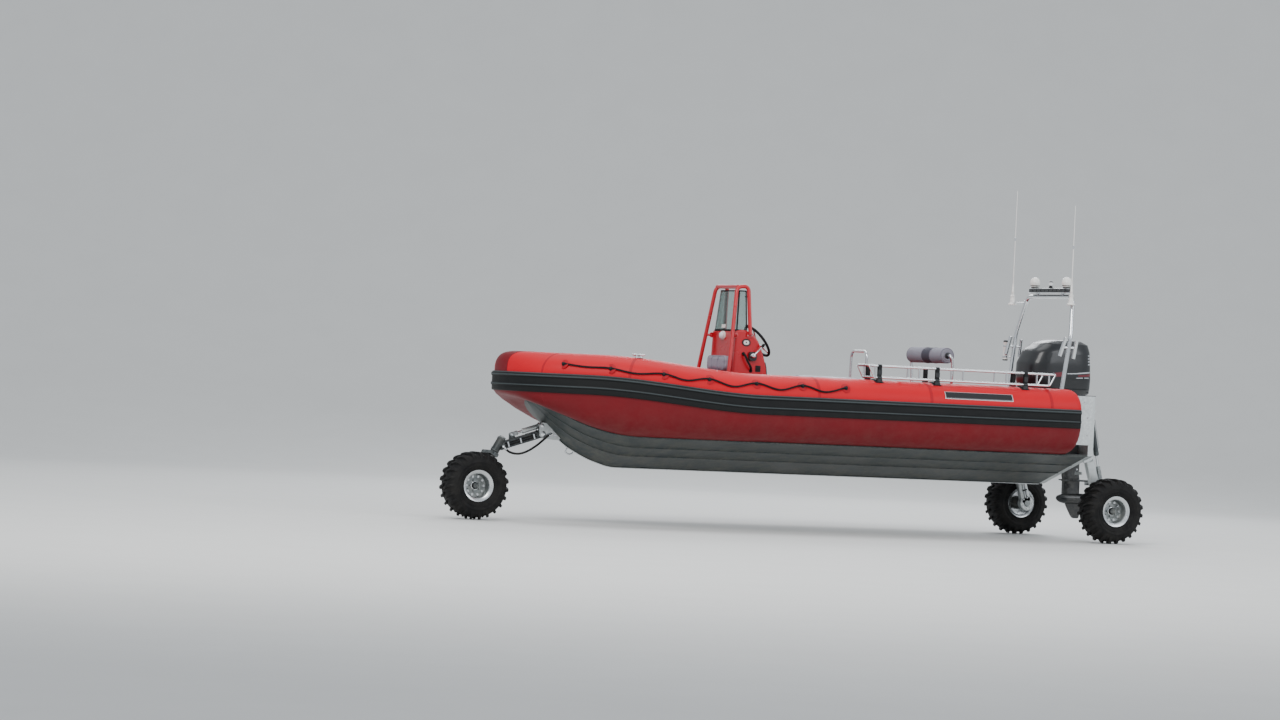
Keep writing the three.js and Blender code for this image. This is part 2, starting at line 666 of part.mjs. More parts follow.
const BOLSTER = { x: 4722, z: KEEL + 1262, radius: 92, half: 385 };
const FRAME_HALF = { foot: 400, head: 445 };
function bolster() {
  const { x, z, radius, half } = BOLSTER;
  return turned([[0, -half], [radius - 18, -half], [radius, -half + 18], [radius, half - 18],
    [radius - 18, half], [0, half]], 20, { x, y: 0, z });
}
const bolsterFrame = tube([
  [4770, -FRAME_HALF.foot, CONSOLE_BASE], [4745, -FRAME_HALF.head, KEEL + 1200],
  [BOLSTER.x, -FRAME_HALF.head, BOLSTER.z], [BOLSTER.x, FRAME_HALF.head, BOLSTER.z],
  [4745, FRAME_HALF.head, KEEL + 1200], [4770, FRAME_HALF.foot, CONSOLE_BASE],
], 16, { bend: 55, steps: 40, sides: 7 });
add('bolster', cut(bolster(), bar([BOLSTER.x, -FRAME_HALF.head, BOLSTER.z],
  [BOLSTER.x, FRAME_HALF.head, BOLSTER.z], 17, 12)),
  LOOK.bolster);
add('bolster_frame', cut(bolsterFrame, belowDeck),
  LOOK.polished);

// Side rack on the port tube: upper rim, lower rim, posts and saddles
const RACK = { front: 3480, back: 5590, inner: -800, outer: -1090, top: KEEL + 1120, low: KEEL + 1006 };
const RACK_POSTS = 5;
const RACK_SADDLES = [3603, 4246, 5245];
const RAIL_RADIUS = 12;

function sideRack() {
  const parts = [];
  for (const [z, trim] of [[RACK.top, 0], [RACK.low, 60]]) {
    const [x0, x1, y0, y1] = [RACK.front + trim, RACK.back - trim, RACK.outer + 20, RACK.inner - 20];
    const corners = [[x0, y0], [x1, y0], [x1, y1], [x0, y1]];
    corners.forEach(([x, y], i) => {
      const [nextX, nextY] = corners[(i + 1) % 4];
      parts.push(bar([x, y, z], [nextX, nextY, z], RAIL_RADIUS, 6));
      parts.push(new THREE.SphereGeometry(RAIL_RADIUS * 1.03, 6, 4).translate(x, y, z));
    });
  }
  for (let i = 0; i < RACK_POSTS; i++) {
    const x = RACK.front + 75 + (i * (RACK.back - RACK.front - 150)) / (RACK_POSTS - 1);
    for (const y of [RACK.outer + 20, RACK.inner - 20]) {
      parts.push(bar([x, y, RACK.low], [x, y, RACK.top], 9, 5));
    }
  }
  for (const x of RACK_SADDLES) {
    parts.push(block([x - 30, x + 30], [RACK.outer + 20, RACK.inner - 20],
      [KEEL + SHEER - 30, RACK.low]));
  }
  return cut(join(...parts), collars[0]);
}
add('side_rack', sideRack(), LOOK.polished);

// Stern arch: two bent legs, head bar, rod tubes; lamps, domes and aerials sit on it
const ARCH = { foot: [5895, 530, DECK + GAP], bend: [6025, 573, 1530], head: [6090, 462, 1929] };
const archPoint = ([x, y, z], side) => [x, side * y, KEEL + z];
const ARCH_RADIUS = 22;
const ROD_TUBES = [ // from the leg at its foot, lean at its top, both along x; low and high end
  [-91, 57, 1315, 1506], [68, 24, 1295, 1480],
];
const ROD_LEG = { x: 6003, y: 565 };

function sternArch() {
  const legs = tube([
    archPoint(ARCH.foot, -1), archPoint(ARCH.bend, -1), archPoint(ARCH.head, -1),
    archPoint(ARCH.head, 1), archPoint(ARCH.bend, 1), archPoint(ARCH.foot, 1),
  ], ARCH_RADIUS, { bend: 70, steps: 40, sides: 8 });
  const parts = [legs];
  for (const [, side] of bothSides) {
    for (const [shift, lean, low, high] of ROD_TUBES) {
      const foot = [ROD_LEG.x + shift, side * (ROD_LEG.y - 2), KEEL + low];
      const top = [foot[0] + lean, side * (ROD_LEG.y + 10), KEEL + high];
      parts.push(bar(foot, top, 20, 8));
    }
    const tie = [ROD_LEG.x, side * (ROD_LEG.y + 3), KEEL + 1405];
    parts.push(bar([tie[0] - 66, tie[1], tie[2]], [tie[0] + 84, tie[1], tie[2]], 12, 8));
    const [x, y, z] = archPoint(ARCH.foot, side);
    parts.push(bar([x, y, z], [x, y, z + 12], 50, 16));
  }
  return join(...parts);
}
const archSolid = cut(sternArch(), belowDeck);
add('stern_arch', archSolid, LOOK.polished);

const HEAD_TOP = KEEL + ARCH.head[2] + ARCH_RADIUS;
function lightBar() {
  const x = ARCH.head[0];
  const plate = prism(rounded(x - 45, x + 45, -389, 389, 20), 'z', HEAD_TOP + 18, HEAD_TOP + 62, 8);
  const feet = [-260, 260].map((y) => block([x - 18, x + 18], [y - 22, y + 22], [HEAD_TOP + 0.6, HEAD_TOP + 30]));
  return join(plate, ...feet);
}
add('light_bar', lightBar(), LOOK.blackPlastic);
for (const [name, side] of bothSides) {
  const profile = [[0, 0], [40, 0], [40, 12], [52, 40], [52, 70], [40, 98], [20, 112], [0, 116]];
  const dome = new THREE.LatheGeometry(profile.map(([r, z]) => new THREE.Vector2(r, z)), 16).rotateX(rad(90));
  add(`dome_${name}`, dome, LOOK.white, [ARCH.head[0], side * 331, HEAD_TOP + 62 + GAP]);
}

// Aerial on a short arm from the arch's leg: place in plan, height of its tip above the keel
function aerial(x, y, topAboveKeel) {
  const base = HEAD_TOP - 40;
  const root = [ARCH.head[0] - 11, Math.sign(y) * (ARCH.head[1] + 19), base - 50];
  const arm = bar(root, [x, y, base - 50], 10, 8);
  const mount = bar([x, y, base - 70], [x, y, base + 30], 26, 12);
  const ferrule = bar([x, y, base + 28], [x, y, base + 150], 13, 10, 8);
  const whip = bar([x, y, base + 148], [x, y, KEEL + topAboveKeel], 6, 8, 3);
  return join(arm, mount, ferrule, whip);
}
add('aerial_port', cut(aerial(6040, -520, 2857), archSolid), LOOK.white);
add('aerial_starboard', cut(aerial(6080, 780, 3038), archSolid), LOOK.white);

// Wheels

const LUG_FOOT = 284; // radius where a lug starts

function tyre({ x, y, z }) {
  const bead = (RIM_RADIUS + GAP) / Math.cos(Math.PI / TYRE_SIDES);
  const profile = [
    [bead, -112], [157, -112], [174, -130], [235, -146], [285, -130], [CROWN_RADIUS, -84],
    [CROWN_RADIUS, 84], [285, 130], [235, 146], [174, 130], [157, 112], [bead, 112], [bead, -112],
  ];
  const parts = [turned(profile, TYRE_SIDES, { x: 0, y: 0, z: 0 })];
  const depth = TYRE_RADIUS - LUG_FOOT;
  for (let i = 0; i < LUGS_A_SIDE * 2; i++) {
    const side = i % 2 ? 1 : -1;
    parts.push(new THREE.CylinderGeometry(1, 1.15, depth, 4)
      .rotateY(rad(45))
      .scale(40, 1, 88)
      .rotateY(rad(-side * 24))
      .translate(0, LUG_FOOT + depth / 2, side * 62)
      .rotateX(rad(side * 4))
      .rotateZ((Math.PI * i) / LUGS_A_SIDE)
      .rotateX(rad(-90)));
  }
  return join(...parts).translate(x, y, z);
}

// Dished rim: barrel, flanges and a disc; outside is the side that the dish opens to
function rim(centre, outside) {
  const profile = [
    [34, 18], [112, 18], [118, 40], [118, 108], [RIM_RADIUS + 14, 122], [RIM_RADIUS + 14, 114],
    [RIM_RADIUS, 112.4], [RIM_RADIUS, -112.4],
    [RIM_RADIUS + 14, -114], [RIM_RADIUS + 14, -122], [124, -108], [124, HUB_FACE], [34, HUB_FACE], [34, 18],
  ].map(([r, across]) => [r, across * outside]);
  if (outside > 0) profile.reverse();
  return turned(profile, 18, centre);
}

// Rear legs and wheels
const RAM_LOW = { x: 6332, z: 628 };

function rearLeg(side) {
  const y = side * REAR_LEG_Y;
  const span = [y - LEG_HALF, y + LEG_HALF];
  const arm = beam(REAR_PIVOT, REAR_WHEEL, span, 92);
  const eye = bar([REAR_PIVOT.x, span[0], REAR_PIVOT.z], [REAR_PIVOT.x, span[1], REAR_PIVOT.z], 46, 16);
  const foot = bar([REAR_WHEEL.x, span[0], REAR_WHEEL.z], [REAR_WHEEL.x, span[1], REAR_WHEEL.z], 78, 20);
  const hub = side * (REAR_WHEEL_Y + HUB_FACE - GAP);
  const motor = bar([REAR_WHEEL.x, side * (REAR_LEG_Y + 30), REAR_WHEEL.z], [REAR_WHEEL.x, hub, REAR_WHEEL.z], 70, 20);
  const spigot = bar([REAR_WHEEL.x, hub - side * 4, REAR_WHEEL.z],
    [REAR_WHEEL.x, side * (REAR_WHEEL_Y + 52), REAR_WHEEL.z], 30, 16);
  const lug = prism([[6262, 560], [6345, 590], [RAM_LOW.x + 24, RAM_LOW.z + 18], [RAM_LOW.x, RAM_LOW.z + 30],
    [6240, 690]], 'y', y - 9, y + 9);
  const pin = bar([RAM_LOW.x, y - 30, RAM_LOW.z], [RAM_LOW.x, y + 30, RAM_LOW.z], 12, 12);
  const hole = bar([REAR_PIVOT.x, span[0] - 9, REAR_PIVOT.z], [REAR_PIVOT.x, span[1] + 9, REAR_PIVOT.z],
    PIN_RADIUS + 0.4);
  return cut(join(arm, eye, foot, motor, spigot, lug, pin), hole);
}

// Hydraulic ram between two pins: eye, barrel, rod, and a fork or an eye at the low end
function ram(top, low, y, { bore, rodRadius, pin, lowPin }) {
  const run = new THREE.Vector2(low.x - top.x, low.z - top.z);
  const at = (share) => [top.x + run.x * share, y, top.z + run.y * share];
  const eye = bar([top.x, y - 26, top.z], [top.x, y + 26, top.z], pin + 14, 14);
  const barrel = bar(at(0.04), at(0.62), bore, 14);
  const rod = bar(at(0.6), at(0.86), rodRadius, 10);
  const tangs = [-1, 1].map((side) => {
    const inner = y + side * 10;
    return beam(
      { x: at(0.84)[0], z: at(0.84)[2] }, low,
      [inner, inner + side * 12].sort((a, b) => a - b), 2 * lowPin + 16,
    );
  });
  const bridge = bar(at(0.8), at(0.88), 22, 12);
  const holes = [
    bar([top.x, y - 40, top.z], [top.x, y + 40, top.z], pin + 0.4),
    bar([low.x, y - 40, low.z], [low.x, y + 40, low.z], lowPin + 0.4, 12),
  ];
  return cut(join(eye, barrel, rod, bridge, ...tangs), ...holes);
}

for (const [name, side] of bothSides) {
  const centre = { x: REAR_WHEEL.x, y: side * REAR_WHEEL_Y, z: REAR_WHEEL.z };
  add(`rear_leg_${name}`, rearLeg(side), LOOK.paleMetal);
  add(`rear_ram_${name}`, ram(RAM_TOP, RAM_LOW, side * REAR_LEG_Y,
    { bore: 26, rodRadius: 13, pin: PIN_RADIUS, lowPin: 12 }), LOOK.darkMetal);
  add(`rear_rim_${name}`, rim(centre, side), LOOK.rim);
  add(`rear_tyre_${name}`, tyre(centre), LOOK.tyre);
}

// Front leg: bracket on the stem, arm with its steering head, lift ram, fork, wheel
const KINGPIN = new THREE.Vector3(STEER_HEAD.x - FRONT_WHEEL.x, 0, STEER_HEAD.z - FRONT_WHEEL.z).normalize();
const alongKingpin = (distance) => [
  FRONT_WHEEL.x + KINGPIN.x * distance, 0, FRONT_WHEEL.z + KINGPIN.z * distance,
];
const HEAD = { low: 388, high: 540, radius: 44, pin: 24 };
const FRONT_RAM_TOP = { x: 462, z: 938 };
const FRONT_RAM_LOW = { x: 158, z: 838 };

function frontBracket() {
  const cheeks = [-1, 1].map((side) => {
    const span = [side * 40, side * 56].sort((a, b) => a - b);
    return prism([
      [FRONT_PIVOT.x - 40, FRONT_PIVOT.z - 20], [FRONT_PIVOT.x, FRONT_PIVOT.z - 42], [640, 800],
      [690, 860], [560, 960], [FRONT_RAM_TOP.x, FRONT_RAM_TOP.z + 30],
      [FRONT_RAM_TOP.x - 28, FRONT_RAM_TOP.z],
    ], 'y', ...span);
  });
  const web = prism([[550, 820], [630, 804], [690, 860], [560, 960]], 'y', -42, 42);
  const pins = [[FRONT_PIVOT, PIN_RADIUS], [FRONT_RAM_TOP, 12]].map(([at, radius]) =>
    bar([at.x, -60, at.z], [at.x, 60, at.z], radius));
  const lowered = hull.clone().translate(0, 0, -0.5);
  return cut(join(...cheeks, web, ...pins), lowered, ...collars);
}
add('front_bracket', frontBracket(), LOOK.paleMetal);

function frontArm() {
  const arm = beam(FRONT_PIVOT, STEER_HEAD, [-34, 34], 76);
  const eye = bar([FRONT_PIVOT.x, -34, FRONT_PIVOT.z], [FRONT_PIVOT.x, 34, FRONT_PIVOT.z], 40, 16);
  const head = bar(alongKingpin(HEAD.low), alongKingpin(HEAD.high), HEAD.radius, 20);
  const lug = prism([[136, 760], [214, 796], [FRONT_RAM_LOW.x + 22, FRONT_RAM_LOW.z + 10],
    [FRONT_RAM_LOW.x, FRONT_RAM_LOW.z + 22], [FRONT_RAM_LOW.x - 20, FRONT_RAM_LOW.z]], 'y', -9, 9);
  const pin = bar([FRONT_RAM_LOW.x, -30, FRONT_RAM_LOW.z], [FRONT_RAM_LOW.x, 30, FRONT_RAM_LOW.z], 12, 12);
  const pivotHole = bar([FRONT_PIVOT.x, -50, FRONT_PIVOT.z], [FRONT_PIVOT.x, 50, FRONT_PIVOT.z], PIN_RADIUS + 0.4);
  const headBore = bar(alongKingpin(HEAD.low - 30), alongKingpin(HEAD.high + 30), HEAD.pin + 0.9, 16);
  return cut(join(arm, eye, head, lug, pin), pivotHole, headBore);
}
add('front_arm', frontArm(), LOOK.darkMetal);
add('front_ram', ram(FRONT_RAM_TOP, FRONT_RAM_LOW, 0, { bore: 24, rodRadius: 12, pin: 12, lowPin: 12 }),
  LOOK.paleMetal);

// One-sided fork on the starboard side with its hub motor
function frontFork() {
  const crown = { from: 346, to: 382 };
  const cheek = { inner: 176, outer: 204 };
  const across = new THREE.Vector3(KINGPIN.z, 0, -KINGPIN.x);
  const slab = (half, y0, y1, from, to) => {
    const corner = (sign, distance) => {
      const [x, , z] = alongKingpin(distance);
      return [x + across.x * sign * half, z + across.z * sign * half];
    };
    return prism([corner(-1, from), corner(1, from), corner(1, to), corner(-1, to)], 'y', y0, y1);
  };
  const bridge = slab(44, -44, cheek.outer, crown.from, crown.to);
  const plate = slab(44, cheek.inner, cheek.outer, -30, crown.to);
  const pin = bar(alongKingpin(crown.to - 4), alongKingpin(HEAD.high + 6), HEAD.pin, 16);
  const cap = bar(alongKingpin(HEAD.high + 1), alongKingpin(HEAD.high + 16), 34, 16);
  const { x, z } = FRONT_WHEEL;
  const boss = bar([x, cheek.inner, z], [x, cheek.outer + 10, z], 78, 20);
  const motor = bar([x, cheek.inner + 4, z], [x, GAP - HUB_FACE, z], 70, 20);
  const spigot = bar([x, 6, z], [x, -52, z], 30, 16);
  return join(bridge, plate, pin, cap, boss, motor, spigot);
}
add('front_fork', frontFork(), LOOK.darkMetal);
const frontCentre = { x: FRONT_WHEEL.x, y: 0, z: FRONT_WHEEL.z };
add('front_rim', rim(frontCentre, -1), LOOK.rim);
add('front_tyre', tyre(frontCentre), LOOK.tyre);

// Hose that hangs in a loop under the arm, from the bracket to the steering head
const HOSE_RADIUS = 11;
const HOSE_ROUTE = [ // x, y, z
  [556, -67.5, 856], [520, -72, 842], [470, -76, 800], [400, -76, 742], [320, -74, 690],
  [245, -72, 660], [180, -70, 655], [125, -66, 668], [92, -60, 690], [72, -54, 712],
];
const hosePath = new THREE.CatmullRomCurve3(HOSE_ROUTE.map((p) => new THREE.Vector3(...p)));
add('front_hose', sweep(hosePath, HOSE_RADIUS, 26, 8), LOOK.blackRubber);

// Outboard: clamp, swivel, cowl, leg and propeller
const CLAMP_HALF = [108, 146];
function outboardClamp() {
  const { x, z } = TILT_AXIS;
  const cheeks = [-1, 1].map((side) => {
    const span = [side * CLAMP_HALF[0], side * CLAMP_HALF[1]].sort((a, b) => a - b);
    return prism([
      [HULL_END + GAP, 960], [HULL_END + 30, 950], [x + 26, 1180], [x + 44, z], [x + 20, z + 42],
      [x - 30, z + 40], [6090, z + 30], [6030, z + 2], [6030, 1150], [HULL_END - TRANSOM_THICK - GAP, 1150],
      [HULL_END - TRANSOM_THICK - GAP, ENGINE_SILL + GAP], [HULL_END + GAP, ENGINE_SILL + GAP],
    ], 'y', ...span);
  });
  const tiltTube = bar([x, -CLAMP_HALF[1] - 20, z], [x, CLAMP_HALF[1] + 20, z], 17, 14);
  return join(...cheeks, tiltTube);
}
add('outboard_clamp', outboardClamp(), LOOK.blackPaint);

function outboardSwivel() {
  const { x, z } = TILT_AXIS;
  const barrel = bar([x, -100, z], [x, 100, z], 36, 16);
  const column = bar([STEER_AXIS_X, 0, 985], [STEER_AXIS_X, 0, 1268], 38, 16);
  const web = prism([[x - 8, z - 30], [x - 8, z + 22], [STEER_AXIS_X, z + 22], [STEER_AXIS_X, 1000],
    [STEER_AXIS_X - 30, 1000]], 'y', -30, 30);
  const tubeHole = bar([x, -120, z], [x, 120, z], 17.6, 14);
  const steerHole = bar([STEER_AXIS_X, 0, 900], [STEER_AXIS_X, 0, 1300], 20.6, 16);
  return cut(join(barrel, column, web), tubeHole, steerHole);
}
add('outboard_swivel', outboardSwivel(), LOOK.blackPaint);

// Cowl sections: z, front x, rear x, half breadth, squareness
const COWL = [
  [1492, 5880, 6530, 205, 3.4], [1540, 5815, 6538, 238, 3.6], [1650, 5790, 6536, 252, 3.8],
  [1800, 5798, 6526, 250, 3.8], [1930, 5860, 6518, 240, 3.6], [2005, 5950, 6502, 214, 3.2],
  [2040, 6040, 6440, 160, 2.8],
];
add('outboard_cowl', loft(COWL.map(([z, x0, x1, half, square]) => levelRing(z, [x0, x1], half, square, 24))),
  LOOK.blackPaint);

// Leg sections under the cowl: z, front x, rear x, half breadth, squareness
const LEG = [
  [640, 6322, 6530, 34, 2.2], [760, 6318, 6525, 40, 2.4], [980, 6312, 6520, 66, 2.6],
  [1180, 6300, 6530, 92, 2.8], [1300, 6290, 6535, 120, 3], [1400, 6080, 6530, 165, 3.2],
  [1491.5, 5965, 6518, 185, 3.4],
];
const VENT_PLATE = { z: 602, thick: 12, front: 6290, rear: 6700, half: 105 };
const TORPEDO = { front: 6270, rear: 6612, radius: 56 };

function outboardLeg() {
  const shaft = loft(LEG.map(([z, x0, x1, half, square]) => levelRing(z, [x0, x1], half, square, 20)));
  const strut = loft([[PROP_AXIS_Z, 6330, 6540, 26], [VENT_PLATE.z + 6, 6330, 6540, 30], [645, 6324, 6530, 34]]
    .map(([z, x0, x1, half]) => levelRing(z, [x0, x1], half, 2.2, 20)));
  const plate = prism([
    [VENT_PLATE.front, 0], [VENT_PLATE.front + 60, -60], [6520, -VENT_PLATE.half],
    [VENT_PLATE.rear, -VENT_PLATE.half + 15], [VENT_PLATE.rear, VENT_PLATE.half - 15],
    [6520, VENT_PLATE.half], [VENT_PLATE.front + 60, 60],
  ], 'z', VENT_PLATE.z, VENT_PLATE.z + VENT_PLATE.thick);
  const { front, rear, radius } = TORPEDO;
  const nose = [[0, 0], [26, 12], [44, 45], [radius, 110], [radius, rear - front - 60], [48, rear - front], [0, rear - front]];
  const torpedo = new THREE.LatheGeometry(nose.map(([r, run]) => new THREE.Vector2(r, run)), 18)
    .rotateZ(rad(-90)).translate(front, 0, PROP_AXIS_Z);
  const skeg = prism([[6370, PROP_AXIS_Z - 40], [6470, PROP_AXIS_Z - 205], [6540, PROP_AXIS_Z - 205],
    [6590, PROP_AXIS_Z - 40]], 'y', -8, 8);
  const yokes = [[1287, 1340], [930, 979]].map(([low, high]) =>
    prism(rounded(STEER_AXIS_X - 45, 6360, -56, 56, 40), 'z', low, high));
  const steerPin = bar([STEER_AXIS_X, 0, 940], [STEER_AXIS_X, 0, 1320], 20, 16);
  return join(shaft, strut, plate, torpedo, skeg, ...yokes, steerPin);
}
add('outboard_leg', outboardLeg(), LOOK.blackPaint);

const PROP = { x: 6665, hub: 44, radius: 172, blades: 3, pitch: 38 };
function propeller() {
  const hub = bar([TORPEDO.rear + 6, 0, PROP_AXIS_Z], [PROP.x + 68, 0, PROP_AXIS_Z], PROP.hub, 18, PROP.hub - 8);
  const shaft = bar([TORPEDO.rear + GAP, 0, PROP_AXIS_Z], [TORPEDO.rear + 20, 0, PROP_AXIS_Z], 16, 12);
  // Blade sections: radius, half chord, half thickness, pitch angle in degrees
  const sections = [[30, 42, 7, 62], [80, 68, 6, 46], [130, 74, 4.5, 34], [160, 48, 3, 30], [PROP.radius, 14, 2, 28]];
  const blade = () => loft(sections.map(([r, half, thick, pitch]) => {
    const along = new THREE.Vector2(Math.cos(rad(90 - pitch)), Math.sin(rad(90 - pitch)));
    return [[-half, 0], [0, thick], [half, 0], [0, -thick]].map(([c, t]) => new THREE.Vector3(
      PROP.x + c * along.x - t * along.y,
      c * along.y + t * along.x,
      r,
    ));
  }));
  const parts = [hub, shaft];
  for (let i = 0; i < PROP.blades; i++) {
    parts.push(blade().rotateX((2 * Math.PI * i) / PROP.blades).translate(0, 0, PROP_AXIS_Z));
  }
  return join(...parts);
}
add('propeller', propeller(), LOOK.darkMetal);

// The boat stands with the middle of its box over the origin
const reach = new THREE.Box3().setFromObject(boat);
boat.position.set(-(reach.min.x + reach.max.x) / 2, -(reach.min.y + reach.max.y) / 2, -reach.min.z);

export default boat;
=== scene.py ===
"""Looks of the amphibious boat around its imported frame.

Shapes are written in boat millimetres, as in the part's source: x runs aft from the bow tip,
y to starboard and z up from the floor. piece() turns them into the row frame's metres.
"""

from math import atan, copysign, cos, pi, radians, sin, sqrt, tanh

import bmesh
import bpy
from mathutils import Matrix, Vector
from mathutils.bvhtree import BVHTree


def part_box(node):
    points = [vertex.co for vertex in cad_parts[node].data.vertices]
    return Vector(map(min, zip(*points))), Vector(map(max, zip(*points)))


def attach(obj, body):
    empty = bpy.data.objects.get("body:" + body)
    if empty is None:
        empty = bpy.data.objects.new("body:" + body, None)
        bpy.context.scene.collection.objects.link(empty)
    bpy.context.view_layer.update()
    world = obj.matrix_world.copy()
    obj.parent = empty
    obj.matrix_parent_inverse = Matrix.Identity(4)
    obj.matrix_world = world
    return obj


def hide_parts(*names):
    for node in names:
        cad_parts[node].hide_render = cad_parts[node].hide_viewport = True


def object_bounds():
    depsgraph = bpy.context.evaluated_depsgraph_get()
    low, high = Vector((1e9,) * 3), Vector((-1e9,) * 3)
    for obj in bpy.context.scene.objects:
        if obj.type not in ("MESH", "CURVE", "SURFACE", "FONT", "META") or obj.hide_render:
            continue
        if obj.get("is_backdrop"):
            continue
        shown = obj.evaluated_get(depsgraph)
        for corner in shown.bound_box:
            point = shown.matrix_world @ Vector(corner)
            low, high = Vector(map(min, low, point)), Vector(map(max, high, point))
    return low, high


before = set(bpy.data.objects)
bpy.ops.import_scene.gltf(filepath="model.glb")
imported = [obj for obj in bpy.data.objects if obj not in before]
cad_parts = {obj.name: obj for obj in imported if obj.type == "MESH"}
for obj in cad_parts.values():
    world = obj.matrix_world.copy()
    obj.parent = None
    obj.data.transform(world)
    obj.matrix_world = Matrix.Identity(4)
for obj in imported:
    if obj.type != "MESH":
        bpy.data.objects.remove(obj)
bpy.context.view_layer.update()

# Where boat millimetres lie in the row frame, from the stern locker's front face
LOCKER_FRONT = 4830
FRAME_RISE = 0.0000948  # metres
SHIFT = Vector((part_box("stern_locker")[0].x - LOCKER_FRONT / 1000, 0, FRAME_RISE))

# Main sizes, as in the part's source
KEEL = 560
HULL_END = 6120
COLLAR_END = 5850
HALF_BEAM = 1195
COCKPIT_HALF = 770
BOW_CURVE = 2300
BOW_DEPTH = 550
CHINE_SHARE = 0.42
BOW_JOIN = 26
SHEER, STRAKE_TOP, STRAKE_LOW, CHINE = 980, 780, 590, 320
DECK_LOW, DECK = 420, 445
FLOOR = KEEL + DECK + 0.3
AFT, ACROSS, UP = Vector((1, 0, 0)), Vector((0, 1, 0)), Vector((0, 0, 1))
SIDES = (("port", -1), ("starboard", 1))


# Camera: the photo's own place and bearing, seen in the row frame

CAMERA_PLACE = (-18.607, -38.158, 1.427)
CAMERA_RIGHT = Vector((0.91229, -0.40674, 0.04781))
CAMERA_AHEAD = Vector((0.40618, 0.91355, 0.02129))
FOCAL_PIXELS = 4230
HORIZON_ABOVE_MIDDLE = 70
PHOTO_WIDTH = 1280


def placed(name, data):
    """A new object in the scene"""
    made = bpy.data.objects.new(name, data)
    bpy.context.scene.collection.objects.link(made)
    return made


def make_camera():
    """The camera at the photograph's viewing angle"""
    up = CAMERA_RIGHT.cross(CAMERA_AHEAD).normalized()
    dip = atan(HORIZON_ABOVE_MIDDLE / FOCAL_PIXELS)
    ahead = CAMERA_AHEAD * cos(dip) - up * sin(dip)
    up = CAMERA_RIGHT.cross(ahead)
    data = bpy.data.cameras.new("camera")
    data.sensor_width = 36
    data.lens = FOCAL_PIXELS / PHOTO_WIDTH * data.sensor_width
    data.clip_end = 200
    camera = placed("camera", data)
    turn = Matrix((CAMERA_RIGHT, up, -ahead)).transposed().to_4x4()
    camera.matrix_world = Matrix.Translation(CAMERA_PLACE) @ turn
    bpy.context.scene.camera = camera


make_camera()


# Materials

def linear(code):
    """Linear colour of a six-figure code such as c8202e"""
    parts = [int(code[i:i + 2], 16) / 255 for i in (0, 2, 4)]
    return [p / 12.92 if p <= 0.04045 else ((p + 0.055) / 1.055) ** 2.4 for p in parts] + [1]


def fill(node, inputs):
    """Fills a node's sockets, given by name or as _number, with values or with other sockets"""
    for key, value in inputs.items():
        socket = node.inputs[int(key[1:]) if key[1:].isdigit() else key.replace("_", " ")]
        if isinstance(value, bpy.types.NodeSocket):
            node.id_data.links.new(value, socket)
        else:
            socket.default_value = value


def put(tree, kind, settings=None, **inputs):
    """A shader node with its settings and its filled sockets"""
    made = tree.nodes.new("ShaderNode" + kind)
    for key, value in (settings or {}).items():
        setattr(made, key, value)
    fill(made, inputs)
    return made


def calc(tree, operation, a, b):
    return put(tree, "Math", {"operation": operation}, _0=a, _1=b).outputs[0]


def remap(tree, value, low, high, to_low, to_high):
    return put(tree, "MapRange", None, Value=value, From_Min=low, From_Max=high,
               To_Min=to_low, To_Max=to_high).outputs[0]


def blend_colour(tree, share, first, second):
    return put(tree, "Mix", {"data_type": "RGBA"}, _0=share, _6=first, _7=second).outputs[2]


def effect(name, inputs, outputs, wire):
    """A shader node group with named inputs and outputs; those called colour are colours"""
    tree = bpy.data.node_groups.new(name, "ShaderNodeTree")
    for way, labels in (("INPUT", inputs), ("OUTPUT", outputs)):
        for label in labels:
            kind = "Color" if "olour" in label else "Float"
            tree.interface.new_socket(name=label, in_out=way, socket_type="NodeSocket" + kind)
    entry = tree.nodes.new("NodeGroupInput")
    leave = tree.nodes.new("NodeGroupOutput")
    fill(leave, wire(tree, entry.outputs))
    return tree


def object_place(tree):
    return put(tree, "TexCoord").outputs["Object"]


def noise(tree, scale, detail, roughness=0.5, place=None):
    """Noise over a place, by default the object's own"""
    return put(tree, "TexNoise", None, Vector=place or object_place(tree), Scale=scale, Detail=detail,
               Roughness=roughness).outputs[0]


def wire_mottle(tree, given):
    """Broad and fine changes of tone over a surface"""
    broad = noise(tree, given["Scale"], 5.0, 0.6)
    tone = remap(tree, broad, 0.3, 0.7, -1.0, 1.0)
    tone = calc(tree, "MULTIPLY", tone, given["Depth"])
    value = calc(tree, "ADD", tone, 1.0)
    hue = put(tree, "HueSaturation", None, Color=given["Colour"], Value=value)
    return {"Colour": hue.outputs[0], "Mask": broad}


def wire_wear(tree, given):
    """Lighter, rubbed edges and a few scuffs"""
    edge = remap(tree, put(tree, "NewGeometry").outputs["Pointiness"], 0.51, 0.58, 0.0, 1.0)
    broken = remap(tree, noise(tree, 38.0, 6.0, 0.7), 0.42, 0.62, 0.0, 1.0)
    scuff = remap(tree, noise(tree, 7.0, 9.0, 0.75), 0.63, 0.72, 0.0, 0.6)
    mask = calc(tree, "MAXIMUM", calc(tree, "MULTIPLY", edge, broken), scuff)
    mask = calc(tree, "MULTIPLY", mask, given["Amount"])
    colour = blend_colour(tree, mask, given["Colour"], given["Worn colour"])
    return {"Colour": colour, "Mask": mask}


def wire_dust(tree, given):
    """Dried salt and sand: more of it low down and in patches"""
    height = put(tree, "SeparateXYZ", None, _0=object_place(tree)).outputs[2]
    low = remap(tree, height, given["Low edge"], given["High edge"], 1.0, 0.0)
    patch = remap(tree, noise(tree, 9.0, 8.0, 0.72), 0.4, 0.7, 0.0, 1.0)
    mask = calc(tree, "MULTIPLY", calc(tree, "MULTIPLY", low, patch), given["Amount"])
    colour = blend_colour(tree, mask, given["Colour"], given["Dust colour"])
    return {"Colour": colour, "Mask": mask}


